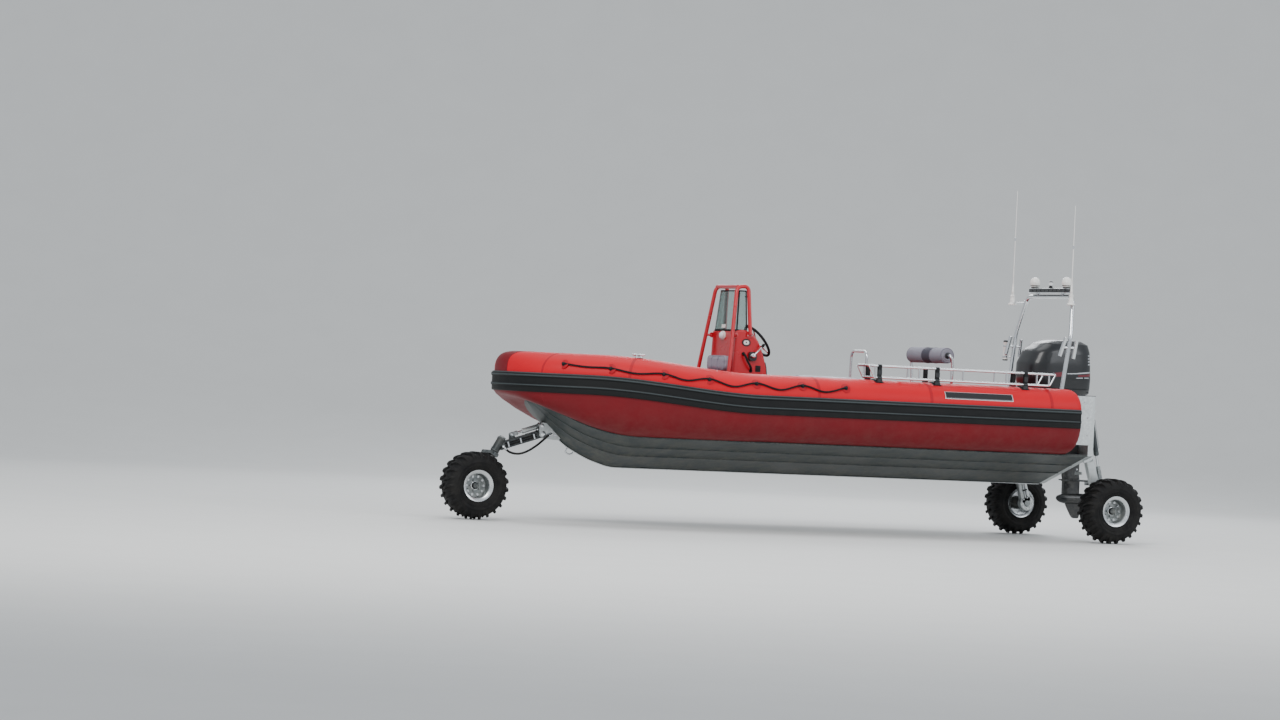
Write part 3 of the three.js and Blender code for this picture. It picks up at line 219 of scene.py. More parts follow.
def wire_weave(tree, given):
    """Threads that cross at right angles, in all three directions"""
    place = object_place(tree)
    heights = []
    for turn in ((0, 0, 0.785), (0.785, 0, 0), (0, 0.785, 0)):
        turned = put(tree, "Mapping", None, Vector=place, Rotation=turn)
        wave = put(tree, "TexWave", {"bands_direction": "X"}, Vector=turned.outputs[0],
                   Scale=given["Scale"], Distortion=0.2)
        heights.append(wave.outputs[1])
    whole = calc(tree, "ADD", calc(tree, "ADD", heights[0], heights[1]), heights[2])
    return {"Height": calc(tree, "MULTIPLY", whole, 0.33)}


def wire_grain(tree, given):
    """Pebbled moulding grain"""
    cells = put(tree, "TexVoronoi", {"feature": "SMOOTH_F1"}, Vector=object_place(tree),
                Scale=given["Scale"])
    fine = noise(tree, calc(tree, "MULTIPLY", given["Scale"], 2.3), 4.0)
    return {"Height": calc(tree, "ADD", calc(tree, "MULTIPLY", cells.outputs[0], 0.7),
                           calc(tree, "MULTIPLY", fine, 0.3))}


def wire_brushed(tree, given):
    """Fine lines of a polished or drawn metal"""
    place = put(tree, "Mapping", None, Vector=object_place(tree), Scale=(1.0, 9.0, 26.0)).outputs[0]
    return {"Height": noise(tree, given["Scale"], 7.0, 0.65, place)}


TONED = ("Colour", "Mask")
EFFECTS = {
    "mottle": effect("mottle", ("Colour", "Scale", "Depth"), TONED, wire_mottle),
    "wear": effect("edge wear", ("Colour", "Worn colour", "Amount"), TONED, wire_wear),
    "dust": effect("dried salt", ("Colour", "Dust colour", "Amount", "Low edge", "High edge"), TONED,
                   wire_dust),
    "weave": effect("weave", ("Scale",), ("Height",), wire_weave),
    "grain": effect("moulding grain", ("Scale",), ("Height",), wire_grain),
    "brushed": effect("brushed lines", ("Scale",), ("Height",), wire_brushed),
}


def use(tree, name, **inputs):
    """Places an effect's group in a material"""
    made = tree.nodes.new("ShaderNodeGroup")
    made.node_tree = EFFECTS[name]
    fill(made, inputs)
    return made.outputs


# Finishes: colours are six-figure codes, and scale and depth belong to the relief
FINISH_COLUMNS = ("colour", "worn", "rough", "metal", "coat", "relief", "scale", "depth",
                  "mottle", "mottle_scale", "wear", "dust")
FINISHES = {
    "collar red": ("c8001a", "d42a3c", 0.5, 0, 0, "weave", 420, 0.10, 0.05, 2.5, 0.10, 0.05),
    # Darker red of the collar's underside and of the nose band: painted shade
    "collar dark red": ("6e0714", "86303a", 0.55, 0, 0, "weave", 420, 0.10, 0.08, 2.5, 0.2, 0.2),
    "seam red": ("a80018", "bd2b36", 0.55, 0, 0, "grain", 600, 0.10, 0.05, 4, 0.2, 0.15),
    "strake black": ("0d0f10", "24282a", 0.6, 0, 0, "grain", 500, 0.25, 0.12, 5, 0.4, 0.12),
    # Lighter grey strips on the strake's ribs and top edge: painted highlight
    "strake rib": ("3a4244", "555c5e", 0.55, 0, 0, "grain", 500, 0.25, 0.12, 5, 0.4, 0.12),
    "patch black": ("17191b", "34383a", 0.7, 0, 0, "grain", 700, 0.35, 0.1, 9, 0.4, 0.2),
    "rope black": ("121315", "2c2f31", 0.85, 0, 0, "weave", 700, 0.9, 0.2, 30, 0.3, 0.15),
    "hull grey": ("2c3536", "56605f", 0.5, 0.1, 0, "grain", 260, 0.10, 0.12, 2.2, 0.6, 0.5),
    "deck tread": ("5d6264", "8b9092", 0.82, 0, 0, "grain", 380, 0.9, 0.14, 3, 0.5, 0.4),
    "pale metal": ("c3c8c8", "e6e9e9", 0.42, 0.85, 0, "brushed", 50, 0.12, 0.08, 4, 0.5, 0.25),
    "stainless": ("d9dcde", "f2f4f5", 0.17, 1, 0, "brushed", 60, 0.04, 0.05, 5, 0.3, 0.08),
    # Darker steel for nuts and fittings, used also for the rims' inner dish as painted shade
    "rough steel": ("8b9091", "b9bdbe", 0.45, 0.9, 0, "brushed", 60, 0.15, 0.15, 6, 0.5, 0.3),
    "dark metal": ("363b3d", "767c7e", 0.45, 0.6, 0, "grain", 320, 0.14, 0.15, 6, 0.7, 0.35),
    "rim silver": ("cfd3d5", "eef0f1", 0.26, 0.9, 0.15, "brushed", 50, 0.05, 0.06, 6, 0.4, 0.2),
    "gelcoat red": ("b80018", "c92b38", 0.27, 0, 0.4, "grain", 160, 0.03, 0.04, 2.5, 0.15, 0.04),
    "tube red": ("b80018", "cc3a45", 0.3, 0, 0.3, "grain", 260, 0.03, 0.05, 6, 0.25, 0.04),
    "cushion vinyl": ("918f9c", "aeacb8", 0.5, 0, 0.05, "grain", 900, 0.45, 0.07, 7, 0.2, 0.08),
    "piping": ("73717e", "918f9c", 0.5, 0, 0.05, "grain", 900, 0.3, 0.07, 9, 0.2, 0.08),
    "bolster cloth": ("8d8d98", "abacb5", 0.78, 0, 0, "weave", 520, 0.6, 0.1, 8, 0.2, 0.1),
    "band cloth": ("4b4b56", "6c6c76", 0.78, 0, 0, "weave", 520, 0.6, 0.1, 8, 0.2, 0.1),
    "webbing": ("191b1d", "3a3d40", 0.8, 0, 0, "weave", 620, 0.9, 0.15, 20, 0.3, 0.2),
    "tyre rubber": ("08080a", "1a1a1c", 0.72, 0, 0, "grain", 420, 0.35, 0.2, 8, 0.4, 0.04),
    "black plastic": ("15171a", "33373b", 0.4, 0, 0.05, "grain", 560, 0.3, 0.1, 8, 0.3, 0.1),
    "grip rubber": ("121214", "2b2b2e", 0.7, 0, 0, "grain", 800, 0.5, 0.1, 12, 0.3, 0.1),
    "white plastic": ("ecebe6", "fbfbf8", 0.32, 0, 0.25, "grain", 300, 0.03, 0.03, 5, 0.2, 0.06),
    "cowl black": ("14171a", "3d4247", 0.34, 0.1, 0.3, "grain", 300, 0.02, 0.06, 3, 0.2, 0.06),
    "motor black": ("1a1d20", "50565b", 0.3, 0.2, 0.35, "grain", 340, 0.06, 0.1, 5, 0.5, 0.2),
    "stripe silver": ("c9ccd0", "dddfe2", 0.3, 0.6, 0.4, "grain", 300, 0.02, 0.04, 5, 0.2, 0.05),
    "stripe maroon": ("6d1524", "83303c", 0.3, 0.1, 0.4, "grain", 300, 0.02, 0.05, 5, 0.2, 0.05),
    "screen black": ("0a0c10", "14171c", 0.08, 0, 0.6, "grain", 200, 0.01, 0.05, 5, 0.1, 0.02),
    "label white": ("e9e8e4", "f3f2ee", 0.45, 0, 0.1, "grain", 300, 0.05, 0.05, 8, 0.2, 0.1),
    "lamp lens": ("e9ecee", "f7f9fa", 0.12, 0, 0.6, "brushed", 90, 0.2, 0.05, 9, 0.1, 0.05),
}
DUST_COLOUR = linear("a39c8c")
DUST_LOW, DUST_HIGH = 0.1, 1.25
MATERIALS = {}


def new_material(name):
    material = bpy.data.materials.new(name)
    material.use_nodes = True
    return material, material.node_tree, material.node_tree.nodes["Principled BSDF"]


def finish(name):
    """The material of a finish, made on its first use"""
    if name in MATERIALS:
        return MATERIALS[name]
    f = dict(zip(FINISH_COLUMNS, FINISHES[name]))
    material, tree, shader = new_material(name)
    tone = use(tree, "mottle", Colour=linear(f["colour"]), Scale=float(f["mottle_scale"]),
               Depth=f["mottle"])
    worn = use(tree, "wear", Colour=tone["Colour"], Worn_colour=linear(f["worn"]), Amount=f["wear"])
    dusty = use(tree, "dust", Colour=worn["Colour"], Dust_colour=DUST_COLOUR, Amount=f["dust"],
                Low_edge=DUST_LOW, High_edge=DUST_HIGH)
    uneven = remap(tree, tone["Mask"], 0.3, 0.7, f["rough"] * 0.85, min(1.0, f["rough"] * 1.15))
    rough = calc(tree, "ADD", uneven, calc(tree, "MULTIPLY", dusty["Mask"], 0.3))
    if f["metal"]:
        fill(shader, {"Metallic": remap(tree, dusty["Mask"], 0.0, 1.0, f["metal"], f["metal"] * 0.3)})
    height = use(tree, f["relief"], Scale=float(f["scale"]))["Height"]
    bump = put(tree, "Bump", None, Height=height, Strength=min(1.0, f["depth"]), Distance=0.0012)
    fill(shader, {"Base Color": dusty["Colour"], "Roughness": rough, "Normal": bump.outputs[0],
                  "Specular IOR Level": 0.5 if f["coat"] or f["metal"] else 0.28,
                  "Coat Weight": f["coat"], "Coat Roughness": 0.12})
    MATERIALS[name] = material
    return material


def clear_sheet():
    """Tinted acrylic with faint smears"""
    material, tree, shader = new_material("clear acrylic")
    tone = use(tree, "mottle", Colour=linear("b9cdca"), Scale=4.0, Depth=0.06)
    smear = remap(tree, tone["Mask"], 0.3, 0.75, 0.02, 0.14)
    fill(shader, {"Base Color": tone["Colour"], "Roughness": smear, "Transmission Weight": 0.93,
                  "IOR": 1.2})
    return material


MATERIALS["clear acrylic"] = clear_sheet()


# Shapes

POINTS, FACES, LOOKS = [], [], []  # in boat millimetres, drawn since the last mesh was made


def to_frame(point):
    """Boat millimetres as a place in the row frame, in metres"""
    return Vector(point) / 1000 + SHIFT


def to_boat(place):
    """A place in the row frame as boat millimetres"""
    return (place - SHIFT) * 1000

def add(points, faces, looks):
    """Draws faces, with one look or a list of one for each face"""
    start = len(POINTS)
    POINTS.extend(Vector(p) for p in points)
    FACES.extend([start + i for i in face] for face in faces)
    LOOKS.extend([looks] * len(faces) if isinstance(looks, str) else looks)


def mesh_of(name, sharp=38, merge=0.02):
    """The mesh of all that is drawn: closed normals, smooth where it is round"""
    used = sorted(set(LOOKS))
    mesh = bpy.data.meshes.new(name)
    mesh.from_pydata([to_frame(p) for p in POINTS], [], FACES)
    for look in used:
        mesh.materials.append(finish(look))
    mesh.polygons.foreach_set("material_index", [used.index(look) for look in LOOKS])
    for drawn in (POINTS, FACES, LOOKS):
        drawn.clear()
    work = bmesh.new()
    work.from_mesh(mesh)
    bmesh.ops.remove_doubles(work, verts=work.verts, dist=merge / 1000)
    bmesh.ops.recalc_face_normals(work, faces=work.faces)
    work.to_mesh(mesh)
    work.free()
    mesh.polygons.foreach_set("use_smooth", [True] * len(mesh.polygons))
    mesh.set_sharp_from_angle(angle=radians(sharp))
    return mesh


def paint(mesh, *looks, place=lambda middle: 0):
    """Gives every face the look whose number is told by the place of its middle (boat mm)"""
    mesh.materials.clear()
    for look in looks:
        mesh.materials.append(finish(look))
    for polygon in mesh.polygons:
        polygon.material_index = place(to_boat(polygon.center))


def show(name, data, body="boat"):
    """A visible piece that rides on a body, in place of the CAD piece of the same name"""
    made = placed(name, data)
    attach(made, body)
    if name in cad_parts:
        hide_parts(name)
    return made


def piece(name, body="boat", bevel=0.0, sharp=38, merge=0.02, segments=2):
    """A piece made of all that is drawn"""
    made = show(name, mesh_of(name, sharp, merge), body)
    if bevel:
        modifier = made.modifiers.new("rounded edges", "BEVEL")
        modifier.width = bevel / 1000
        modifier.segments = segments
        modifier.angle_limit = radians(sharp)
        modifier.harden_normals = True
    return made


def circle(count):
    """Angles evenly round a circle"""
    return [2 * pi * k / count for k in range(count)]


def oval(centre, across, up, wide, high, count):
    """Points round an ellipse of half sizes wide and high"""
    return [centre + across * (wide * cos(a)) + up * (high * sin(a)) for a in circle(count)]


def loft(rings, looks, closed=False):
    """Skin through rings of matching points, with one look or a list of one for each strip"""
    count = len(rings[0])
    strips = [looks] * count if isinstance(looks, str) else looks
    faces = []
    steps = len(rings) if closed else len(rings) - 1
    for r in range(steps):
        for i in range(count):
            a = r * count + i
            b = r * count + (i + 1) % count
            up = ((r + 1) % len(rings)) * count - r * count
            faces.append((a, b, b + up, a + up))
    add([p for ring in rings for p in ring], faces, strips * steps)
    if not closed:
        add(rings[0], [tuple(range(count))[::-1]], strips[-1])
        add(rings[-1], [tuple(range(count))], strips[-1])


def square_to(way, direction):
    """The part of a way that is square to a direction, one long"""
    return (way - direction * way.dot(direction)).normalized()


def frames_along(points):
    """Directions of a line and a pair of sideways directions that don't twist"""
    points = [Vector(p) for p in points]
    ahead = []
    for i in range(len(points)):
        a = points[max(i - 1, 0)]
        b = points[min(i + 1, len(points) - 1)]
        ahead.append((b - a).normalized())
    side = ahead[0].orthogonal().normalized()
    out = []
    for i, direction in enumerate(ahead):
        if i:
            side = square_to(side, direction)
        out.append((points[i], side, direction.cross(side).normalized()))
    return out


def pipe(points, radius, name, sides=16):
    """Round tube along points; radius is one number or one for each point"""
    rings = []
    for i, (centre, across, up) in enumerate(frames_along(points)):
        r = radius[i] if isinstance(radius, (list, tuple)) else radius
        rings.append(oval(centre, across, up, r, r, sides))
    loft(rings, name)


def bent(corners, bend, steps=8):
    """A line through corners, each rounded over the length bend"""
    corners = [Vector(c) for c in corners]
    line = [corners[0]]
    for before, corner, after in zip(corners, corners[1:], corners[2:]):
        back, ahead = before - corner, after - corner
        reach = min(bend, back.length * 0.45, ahead.length * 0.45)
        start, end = corner + back.normalized() * reach, corner + ahead.normalized() * reach
        for k in range(steps + 1):
            t = k / steps
            line.append(start * (1 - t) ** 2 + corner * (2 * t * (1 - t)) + end * t * t)
    line.append(corners[-1])
    return line


def curved(points, steps=8):
    """A smooth line through points"""
    points = [Vector(p) for p in points]
    ends = [points[0] * 2 - points[1]] + points + [points[-1] * 2 - points[-2]]
    line = []
    for a, b, c, d in zip(ends, ends[1:], ends[2:], ends[3:]):
        for k in range(steps):
            t = k / steps
            line.append(0.5 * (2 * b + (c - a) * t + (2 * a - 5 * b + 4 * c - d) * t * t
                               + (3 * b - a - 3 * c + d) * t ** 3))
    line.append(points[-1])
    return line


def spin(profile, centre, axis, looks, segments=48):
    """Turned form: profile of (radius, distance along the axis from the centre), open or closed"""
    centre, axis = Vector(centre), Vector(axis).normalized()
    side = axis.orthogonal().normalized()
    other = axis.cross(side)
    count = len(profile)
    rings = []
    for out in oval(Vector(), side, other, 1, 1, segments):
        rings.append([centre + out * r + axis * along for r, along in profile])
    faces = []
    for k in range(segments):
        for i in range(count - 1):
            a, b = k * count + i, k * count + i + 1
            c, d = ((k + 1) % segments) * count + i + 1, ((k + 1) % segments) * count + i
            corners = [a, b, c, d]
            if profile[i][0] == 0:
                corners = [a, b, c]
            elif profile[i + 1][0] == 0:
                corners = [a, b, d]
            faces.append(corners)
    strips = [looks] * (count - 1) if isinstance(looks, str) else list(looks)
    add([p for ring in rings for p in ring], faces, strips * segments)


def sleeve(place, axis, inner, outer, half, name, segments=28):
    """Ring round an axis that reaches half its length to each side of a place"""
    spin([(inner, -half), (outer, -half), (outer, half), (inner, half), (inner, -half)], place, axis,
         name, segments)


def rod(start, end, radius, name, sides=24, chamfer=0.0, end_radius=None):
    """Round bar with small chamfers on its ends"""
    start, end = Vector(start), Vector(end)
    length = (end - start).length
    last = radius if end_radius is None else end_radius
    profile = [(0, 0), (radius - chamfer, 0), (radius, chamfer), (last, length - chamfer),
               (last - chamfer, length), (0, length)]
    if not chamfer:
        profile = [(0, 0), (radius, 0), (last, length), (0, length)]
    spin(profile, start, end - start, name, sides)


AXES = {
    "x": lambda a, b, c: (c, a, b),
    "y": lambda a, b, c: (a, c, b),
    "z": lambda a, b, c: (a, b, c),
}


def prism(outline, axis, low, high, name):
    """Prism over an outline: [y, z] along x, [x, z] along y, [x, y] along z"""
    place = AXES[axis]
    rings = [[place(a, b, level) for a, b in outline] for level in (low, high)]
    loft(rings, name)


def box(xs, ys, zs, name):
    prism([(xs[0], ys[0]), (xs[1], ys[0]), (xs[1], ys[1]), (xs[0], ys[1])], "z", *zs, name)


def round_outline(a0, a1, b0, b1, r, steps=6):
    outline = []
    for ca, cb, first in ((a1 - r, b1 - r, 0), (a0 + r, b1 - r, 90), (a0 + r, b0 + r, 180),
                          (a1 - r, b0 + r, 270)):
        for k in range(steps + 1):
            angle = radians(first + 90 * k / steps)
            outline.append((ca + r * cos(angle), cb + r * sin(angle)))
    return outline


def bolt(place, direction, size):
    """Hexagon head on a washer"""
    place, direction = Vector(place), Vector(direction).normalized()
    rod(place - direction * 1, place + direction * 1.6, size * 1.15, "stainless", 14, 0.4)
    rod(place + direction * 1.4, place + direction * (1.4 + size * 0.65), size * 0.9, "stainless", 6, 0.8)


def bolt_circle(middle, direction, radius, count, size, first=1):
    """Bolts evenly round a centre on a face that looks in a direction; first 1 starts half a step on"""
    direction = Vector(direction).normalized()
    across = UP if abs(direction.z) < 0.5 else ACROSS
    for spot in oval(Vector(middle), AFT, across, radius, radius, count * 2)[first::2]:
        bolt(spot, direction, size)


def tube_foot(place, profile, radius, size, name):
    """Round foot of a tube on the deck, with its four bolts"""
    place = Vector(place)
    spin(profile, place, UP, name, 32)
    bolt_circle(place + UP * (profile[3][1] - 1), UP, radius, 4, size)


def plate(middle, out, size, thick, name, corner=6, up=UP):
    """Rounded plate that lies on a face which looks out"""
    middle, out = Vector(middle), Vector(out).normalized()
    wide, high = size
    up = square_to(up, out)
    across = up.cross(out)
    outline = round_outline(-wide / 2, wide / 2, -high / 2, high / 2, corner, 4)
    rings = []
    for lift, shrink in ((-2, 1), (thick - 1.5, 1), (thick, 0.985)):
        rings.append([middle + across * (a * shrink) + up * (b * shrink) + out * lift
                      for a, b in outline])
    loft(rings, name)


def louvres(middle, facing, lean, size, count, pitch, look, thick=3):
    """Slats one above the other on an upright face, each tipped by the share lean"""
    for k in range(count):
        place = Vector(middle) + UP * (pitch * (k - (count - 1) / 2))
        plate(place, facing + UP * lean, size, thick, look, 2)


def lerp(a, b, t):
    return a + (b - a) * t


def smooth(t):
    t = min(1, max(0, t))
    return t * t * (3 - 2 * t)


# Collar

def levels(x):
    """Heights of the collar's lines where its outer edge is at x"""
    rise = 115 * smooth((BOW_CURVE - x) / 1700)
    lift = 310 * max(0, 1 - x / 1000) ** 2
    return {"top": KEEL + SHEER + rise, "high": KEEL + STRAKE_TOP + rise, "low": KEEL + STRAKE_LOW + rise,
            "chine": KEEL + CHINE + lift, "heel": KEEL + CHINE + 0.3 * lift}


def edges(station, side):
    """Outer and inner edge in plan: by turn in degrees at the bow, or as ("aft", x)"""
    if isinstance(station, tuple):
        return (station[1], side * HALF_BEAM), (station[1], side * COCKPIT_HALF)
    c, s = cos(radians(station)), side * sin(radians(station))
    return ((BOW_CURVE * (1 - c), HALF_BEAM * s),
            (BOW_CURVE - (BOW_CURVE - BOW_DEPTH) * c, COCKPIT_HALF * s))


def outward(station, side):
    """Level direction out of the collar's outer wall"""
    turn = 90 if isinstance(station, tuple) else station
    x, y = -HALF_BEAM * cos(radians(turn)), side * BOW_CURVE * sin(radians(turn))
    return Vector((x, y, 0)).normalized()


ARC_STEPS = 30
FLANK_STEPS = 5


def squareness(station):
    """Of the section's top: round along the sides, squarer towards the nose"""
    turn = 90 if isinstance(station, tuple) else abs(station)
    return 2 + 1.5 * (1 - smooth(turn / BOW_JOIN))


def power(value, square):
    """Sine or cosine of a rounded box: 2 for an ellipse, squarer the higher the number"""
    return copysign(abs(value) ** (2 / square), value)


def section(line, square=2):
    """The D-shaped outline: share from the inner to the outer edge, height and finish of the strip"""
    # The underside, from the inner heel round the chine up to the strake, takes a darker red: painted shade
    # where the collar faces down
    out = [(0, line["heel"], "collar dark red"), (CHINE_SHARE, line["chine"], "collar dark red")]
    for k in range(1, FLANK_STEPS):
        t = k / FLANK_STEPS
        share = (1 - t) ** 2 * CHINE_SHARE + 2 * t * (1 - t) * 0.93 + t * t
        out.append((share, lerp(line["chine"], line["low"], 0.36 * t * (1 - t) + t * t),
                    "collar dark red"))
    out.append((1, line["low"], "collar red"))
    for k in range(ARC_STEPS + 1):
        angle = pi * k / ARC_STEPS
        height = line["high"] + (line["top"] - line["high"]) * power(sin(angle), square)
        out.append((0.5 + 0.5 * power(cos(angle), square), height, "collar red"))
    return out


def collar_ring(station, side, size=1.0):
    """The section at a station, scaled about its middle"""
    outer, inner = edges(station, side)
    line = levels(outer[0])
    middle = (line["top"] + line["chine"]) / 2
    ring = []
    for share, z, _ in section(line, squareness(station)):
        across = 0.5 + (share - 0.5) * size
        ring.append(Vector((lerp(inner[0], outer[0], across), lerp(inner[1], outer[1], across),
                            middle + (z - middle) * size)))
    return ring


# Rounded end: distance ahead of the collar's end and size of the section there
COLLAR_END_ROUND = ((95, 1), (70, 0.994), (50, 0.984), (34, 0.968), (20, 0.944), (9, 0.915), (0, 0.87))
NOSE_TURN = 7.5
STRIP_LOOKS = [entry[2] for entry in section(levels(0))]


def side_stations():
    turns = [BOW_JOIN + 0.02 + (90 - BOW_JOIN - 0.02) * k / 48 for k in range(49)]
    return turns + [("aft", x) for x in range(2400, COLLAR_END - 99, 110)]


for name, side in SIDES:
    rings = [collar_ring(station, side) for station in side_stations()]
    rings += [collar_ring(("aft", COLLAR_END - d), side, size) for d, size in COLLAR_END_ROUND]
    loft(rings, STRIP_LOOKS)
    piece("collar_" + name, sharp=50)

bow_turns = [BOW_JOIN * k / 26 for k in range(-26, 27)]
loft([collar_ring(turn, 1) for turn in bow_turns], STRIP_LOOKS)
piece("collar_bow", sharp=50)


def over_collar(station, side, angle, proud):
    """Point above the collar's shoulder arc, by the angle from the outer face"""
    outer, inner = edges(station, side)
    line, square = levels(outer[0]), squareness(station)
    level = power(cos(radians(angle)), square)
    upright = power(sin(radians(angle)), square)
    share = 0.5 + 0.5 * level
    across = Vector((outer[0] - inner[0], outer[1] - inner[1], 0))
    out = across.normalized() * (proud * level)
    z = line["high"] + (line["top"] - line["high"] + proud) * upright
    return Vector((inner[0] + share * across.x + out.x, inner[1] + share * across.y + out.y, z))


def shoulder_band(stations, side, angles, proud, name):
    """A thin strip that lies on the collar's shoulder"""
    rings = []
    for station in stations:
        top = [over_collar(station, side, a, proud) for a in angles]
        low = [over_collar(station, side, a, 0.2) for a in reversed(angles)]
        rings.append(top + low)
    loft(rings, name)


def around(first, last, steps):
    """Stations between two, both by turn or both aft"""
    if isinstance(first, tuple):
        return [("aft", lerp(first[1], last[1], k / steps)) for k in range(steps + 1)]
    return [lerp(first, last, k / steps) for k in range(steps + 1)]


SEAM_STATIONS = ((BOW_JOIN - 0.35, BOW_JOIN + 0.4), (54, 54.8), (("aft", 2880), ("aft", 2912)),
                 (("aft", 4120), ("aft", 4152)), (("aft", 5480), ("aft", 5512)))
for name, side in SIDES:
    for first, last in SEAM_STATIONS:
        shoulder_band(around(first, last, 2), side, range(0, 181, 9), 1.4, "seam red")
    long_seam = around(2, 90, 60) + around(("aft", 2400), ("aft", COLLAR_END - 100), 24)
    shoulder_band(long_seam, side, (150, 153, 156, 159), 1.2, "seam red")
    piece("collar_seams_" + name)

# Darker red band over the front of the nose, from the strake up over the top: painted shade
shoulder_band(around(-NOSE_TURN, NOSE_TURN, 12), 1, range(0, 100, 9), 1.6, "collar dark red")
piece("bow_painted_shade")

# Rubbing strake: how proud of the collar and at which share of its height; the list after it tells at
# which points a lighter grey strip starts, painted highlight on the proud rib faces and the top edge
STRAKE_PROFILE = ((0.4, 0), (14, 0.01), (20, 0.06), (20, 0.26), (27, 0.29), (30, 0.33), (30, 0.38),
                  (27, 0.42), (20, 0.45), (20, 0.74), (27, 0.77), (30, 0.81), (30, 0.88), (27, 0.92),
                  (20, 0.95), (15, 0.99), (0.4, 1))
STRAKE_HIGHLIGHTS = (5, 11, 14, 15)
STRAKE_LOOKS = ["strake rib" if k in STRAKE_HIGHLIGHTS else "strake black"
                for k in range(len(STRAKE_PROFILE))]
for name, side in SIDES:
    run = around(0.02, 90, 84) + around(("aft", 2400), ("aft", COLLAR_END - 95), 34)[:-1]
    stations = [(station, 1) for station in run]
    stations += [(("aft", COLLAR_END - d), size) for d, size in COLLAR_END_ROUND[:5]]
    rings = []
    for station, size in stations:
        outer, inner = edges(station, side)
        line, out = levels(outer[0]), outward(station, side)
        sunk = (1 - size) * abs(outer[1] - inner[1]) / 2
        ring = []
        for proud, share in STRAKE_PROFILE:
            y = max((outer[1] + out.y * (proud - sunk)) * side, 0.15) * side
            ring.append(Vector((outer[0] + out.x * proud, y, lerp(line["low"], line["high"], share))))
        rings.append(ring)
    loft(rings, STRAKE_LOOKS)
    piece("strake_" + name, sharp=50)

# Grab lines: a patch has its station and its angle on the shoulder
PATCH_PROFILE = ((0, -3), (50, -3), (51, 0.5), (48, 2.6), (22, 3.2), (16, 8), (14, 22), (11, 26), (0, 27))
PATCH_FINISHES = ("seam red",) * 4 + ("patch black",) * 4
LINE_PATCHES = ((33.5, 27), (48.8, 21), (63.5, 23), (75.5, 28), (88, 31), (("aft", 2718), 31),
                (("aft", 3192), 31))
LINE_SAGS = ((41.2, 21), (56.2, 14), (69.5, 15), (81.8, 16), (("aft", 2469), 16), (("aft", 2955), 16))
for name, side in SIDES:
    points = []
    for i, (station, angle) in enumerate(LINE_PATCHES):
        points.append(over_collar(station, side, angle, 17))
        if i < len(LINE_SAGS):
            points.append(over_collar(LINE_SAGS[i][0], side, LINE_SAGS[i][1], 12))
    pipe(curved(points, 14), 9, "rope black", 12)
    for station, angle in LINE_PATCHES:
        seat = over_collar(station, side, angle, 0.3)
        up = (over_collar(station, side, angle, 10) - seat).normalized()
        spin(PATCH_PROFILE, seat, up, PATCH_FINISHES, 28)
    piece("grab_line_" + name)

# Hull

# Stem: x and height above the keel
STEM = ((300, 640), (450, 430), (600, 300), (700, 205), (950, 78), (1200, 0), (7000, 0))
CHINE_HALF = COCKPIT_HALF + CHINE_SHARE * (HALF_BEAM - COCKPIT_HALF)
CHINE_REACH = BOW_CURVE - BOW_DEPTH * (1 - CHINE_SHARE)
SPRAY_RAILS = (0.4, 0.68)
UNDER_DECK = KEEL + DECK_LOW - 2


def stem_line(x):
    for (x0, z0), (x1, z1) in zip(STEM, STEM[1:]):
        if x <= x1:
            return KEEL + lerp(z0, z1, (x - x0) / (x1 - x0))
    return KEEL


def stem_height(x):
    """Height of the stem's line at x, with its corners eased"""
    return sum(stem_line(max(300, x + d)) for d in (-70, -35, 0, 35, 70)) / 5


def hull_ring(x, half, chine, cockpit):
    """Keel, spray rails, flat chine and the hidden top, on both sides"""
    keel = min(stem_height(x), chine - 2)

    def slope(share):
        return keel + (chine - keel) * share

    step = min(28, half * 0.05) / half
    one_side = [(0, keel)]
    for share in SPRAY_RAILS + (1,):
        one_side += [(half * (share - step), slope(share - step)),
                     (half * share, slope(share - step) + 1)]
        one_side.append((half * share, slope(share) + 0.5))
    inner = cockpit + 12 if cockpit else half * 0.5
    floor = UNDER_DECK if cockpit else chine + 15
    one_side += [(half - 12, chine + 14), (inner, chine + 14), (inner - 2, floor)]
    other = [(-y, z) for y, z in reversed(one_side[1:])]
    return [Vector((x, y, z)) for y, z in one_side + [(0, floor)] + other]


def draw_hull():
    rings = []
    for turn in range(4, 90, 3):
        c, s = cos(radians(turn)), sin(radians(turn))
        x = BOW_CURVE - CHINE_REACH * c
        share = (BOW_CURVE - x) / (BOW_CURVE - BOW_DEPTH)
        cockpit = COCKPIT_HALF * sqrt(max(0.0, 1 - share * share)) if share < 0.985 else 0
        rings.append(hull_ring(x, CHINE_HALF * s, levels(BOW_CURVE * (1 - c))["chine"] - 5, cockpit))
    for x in range(2350, 6051, 370):
        rings.append(hull_ring(x, CHINE_HALF + 20, KEEL + CHINE - 5, COCKPIT_HALF))
    rings.append(hull_ring(HULL_END - 60.3, CHINE_HALF + 20, KEEL + CHINE - 5, COCKPIT_HALF))
    loft(rings, "hull grey")


draw_hull()
piece("hull", sharp=24)

# Keel guard with a row of small round studs under it, and the tow eye
GUARD_PLACES = (*range(640, 1300, 40), 2200, 3600, 5000, 6050)
GUARD_SECTION = ((-16, 0), (-12, -6), (12, -6), (16, 0), (12, 5), (-12, 5))
guard = [Vector((x, 0, stem_height(x) - 3)) for x in GUARD_PLACES]
loft([[p + Vector((0, y, z)) for y, z in GUARD_SECTION] for p in guard], "stainless")
for k in range(14):
    x = 1500 + 340 * k
    rod((x, 0, KEEL - 7), (x, 0, KEEL - 10.5), 7, "rough steel", 12, 0.8)
eye_z = stem_height(800)
pipe(curved([(770, 0, eye_z + 30), (742, 0, eye_z - 22), (778, 0, eye_z - 46), (815, 0, eye_z - 34),
             (832, 0, eye_z - 4)], 8), 8, "stainless", 12)
piece("keel_guard")

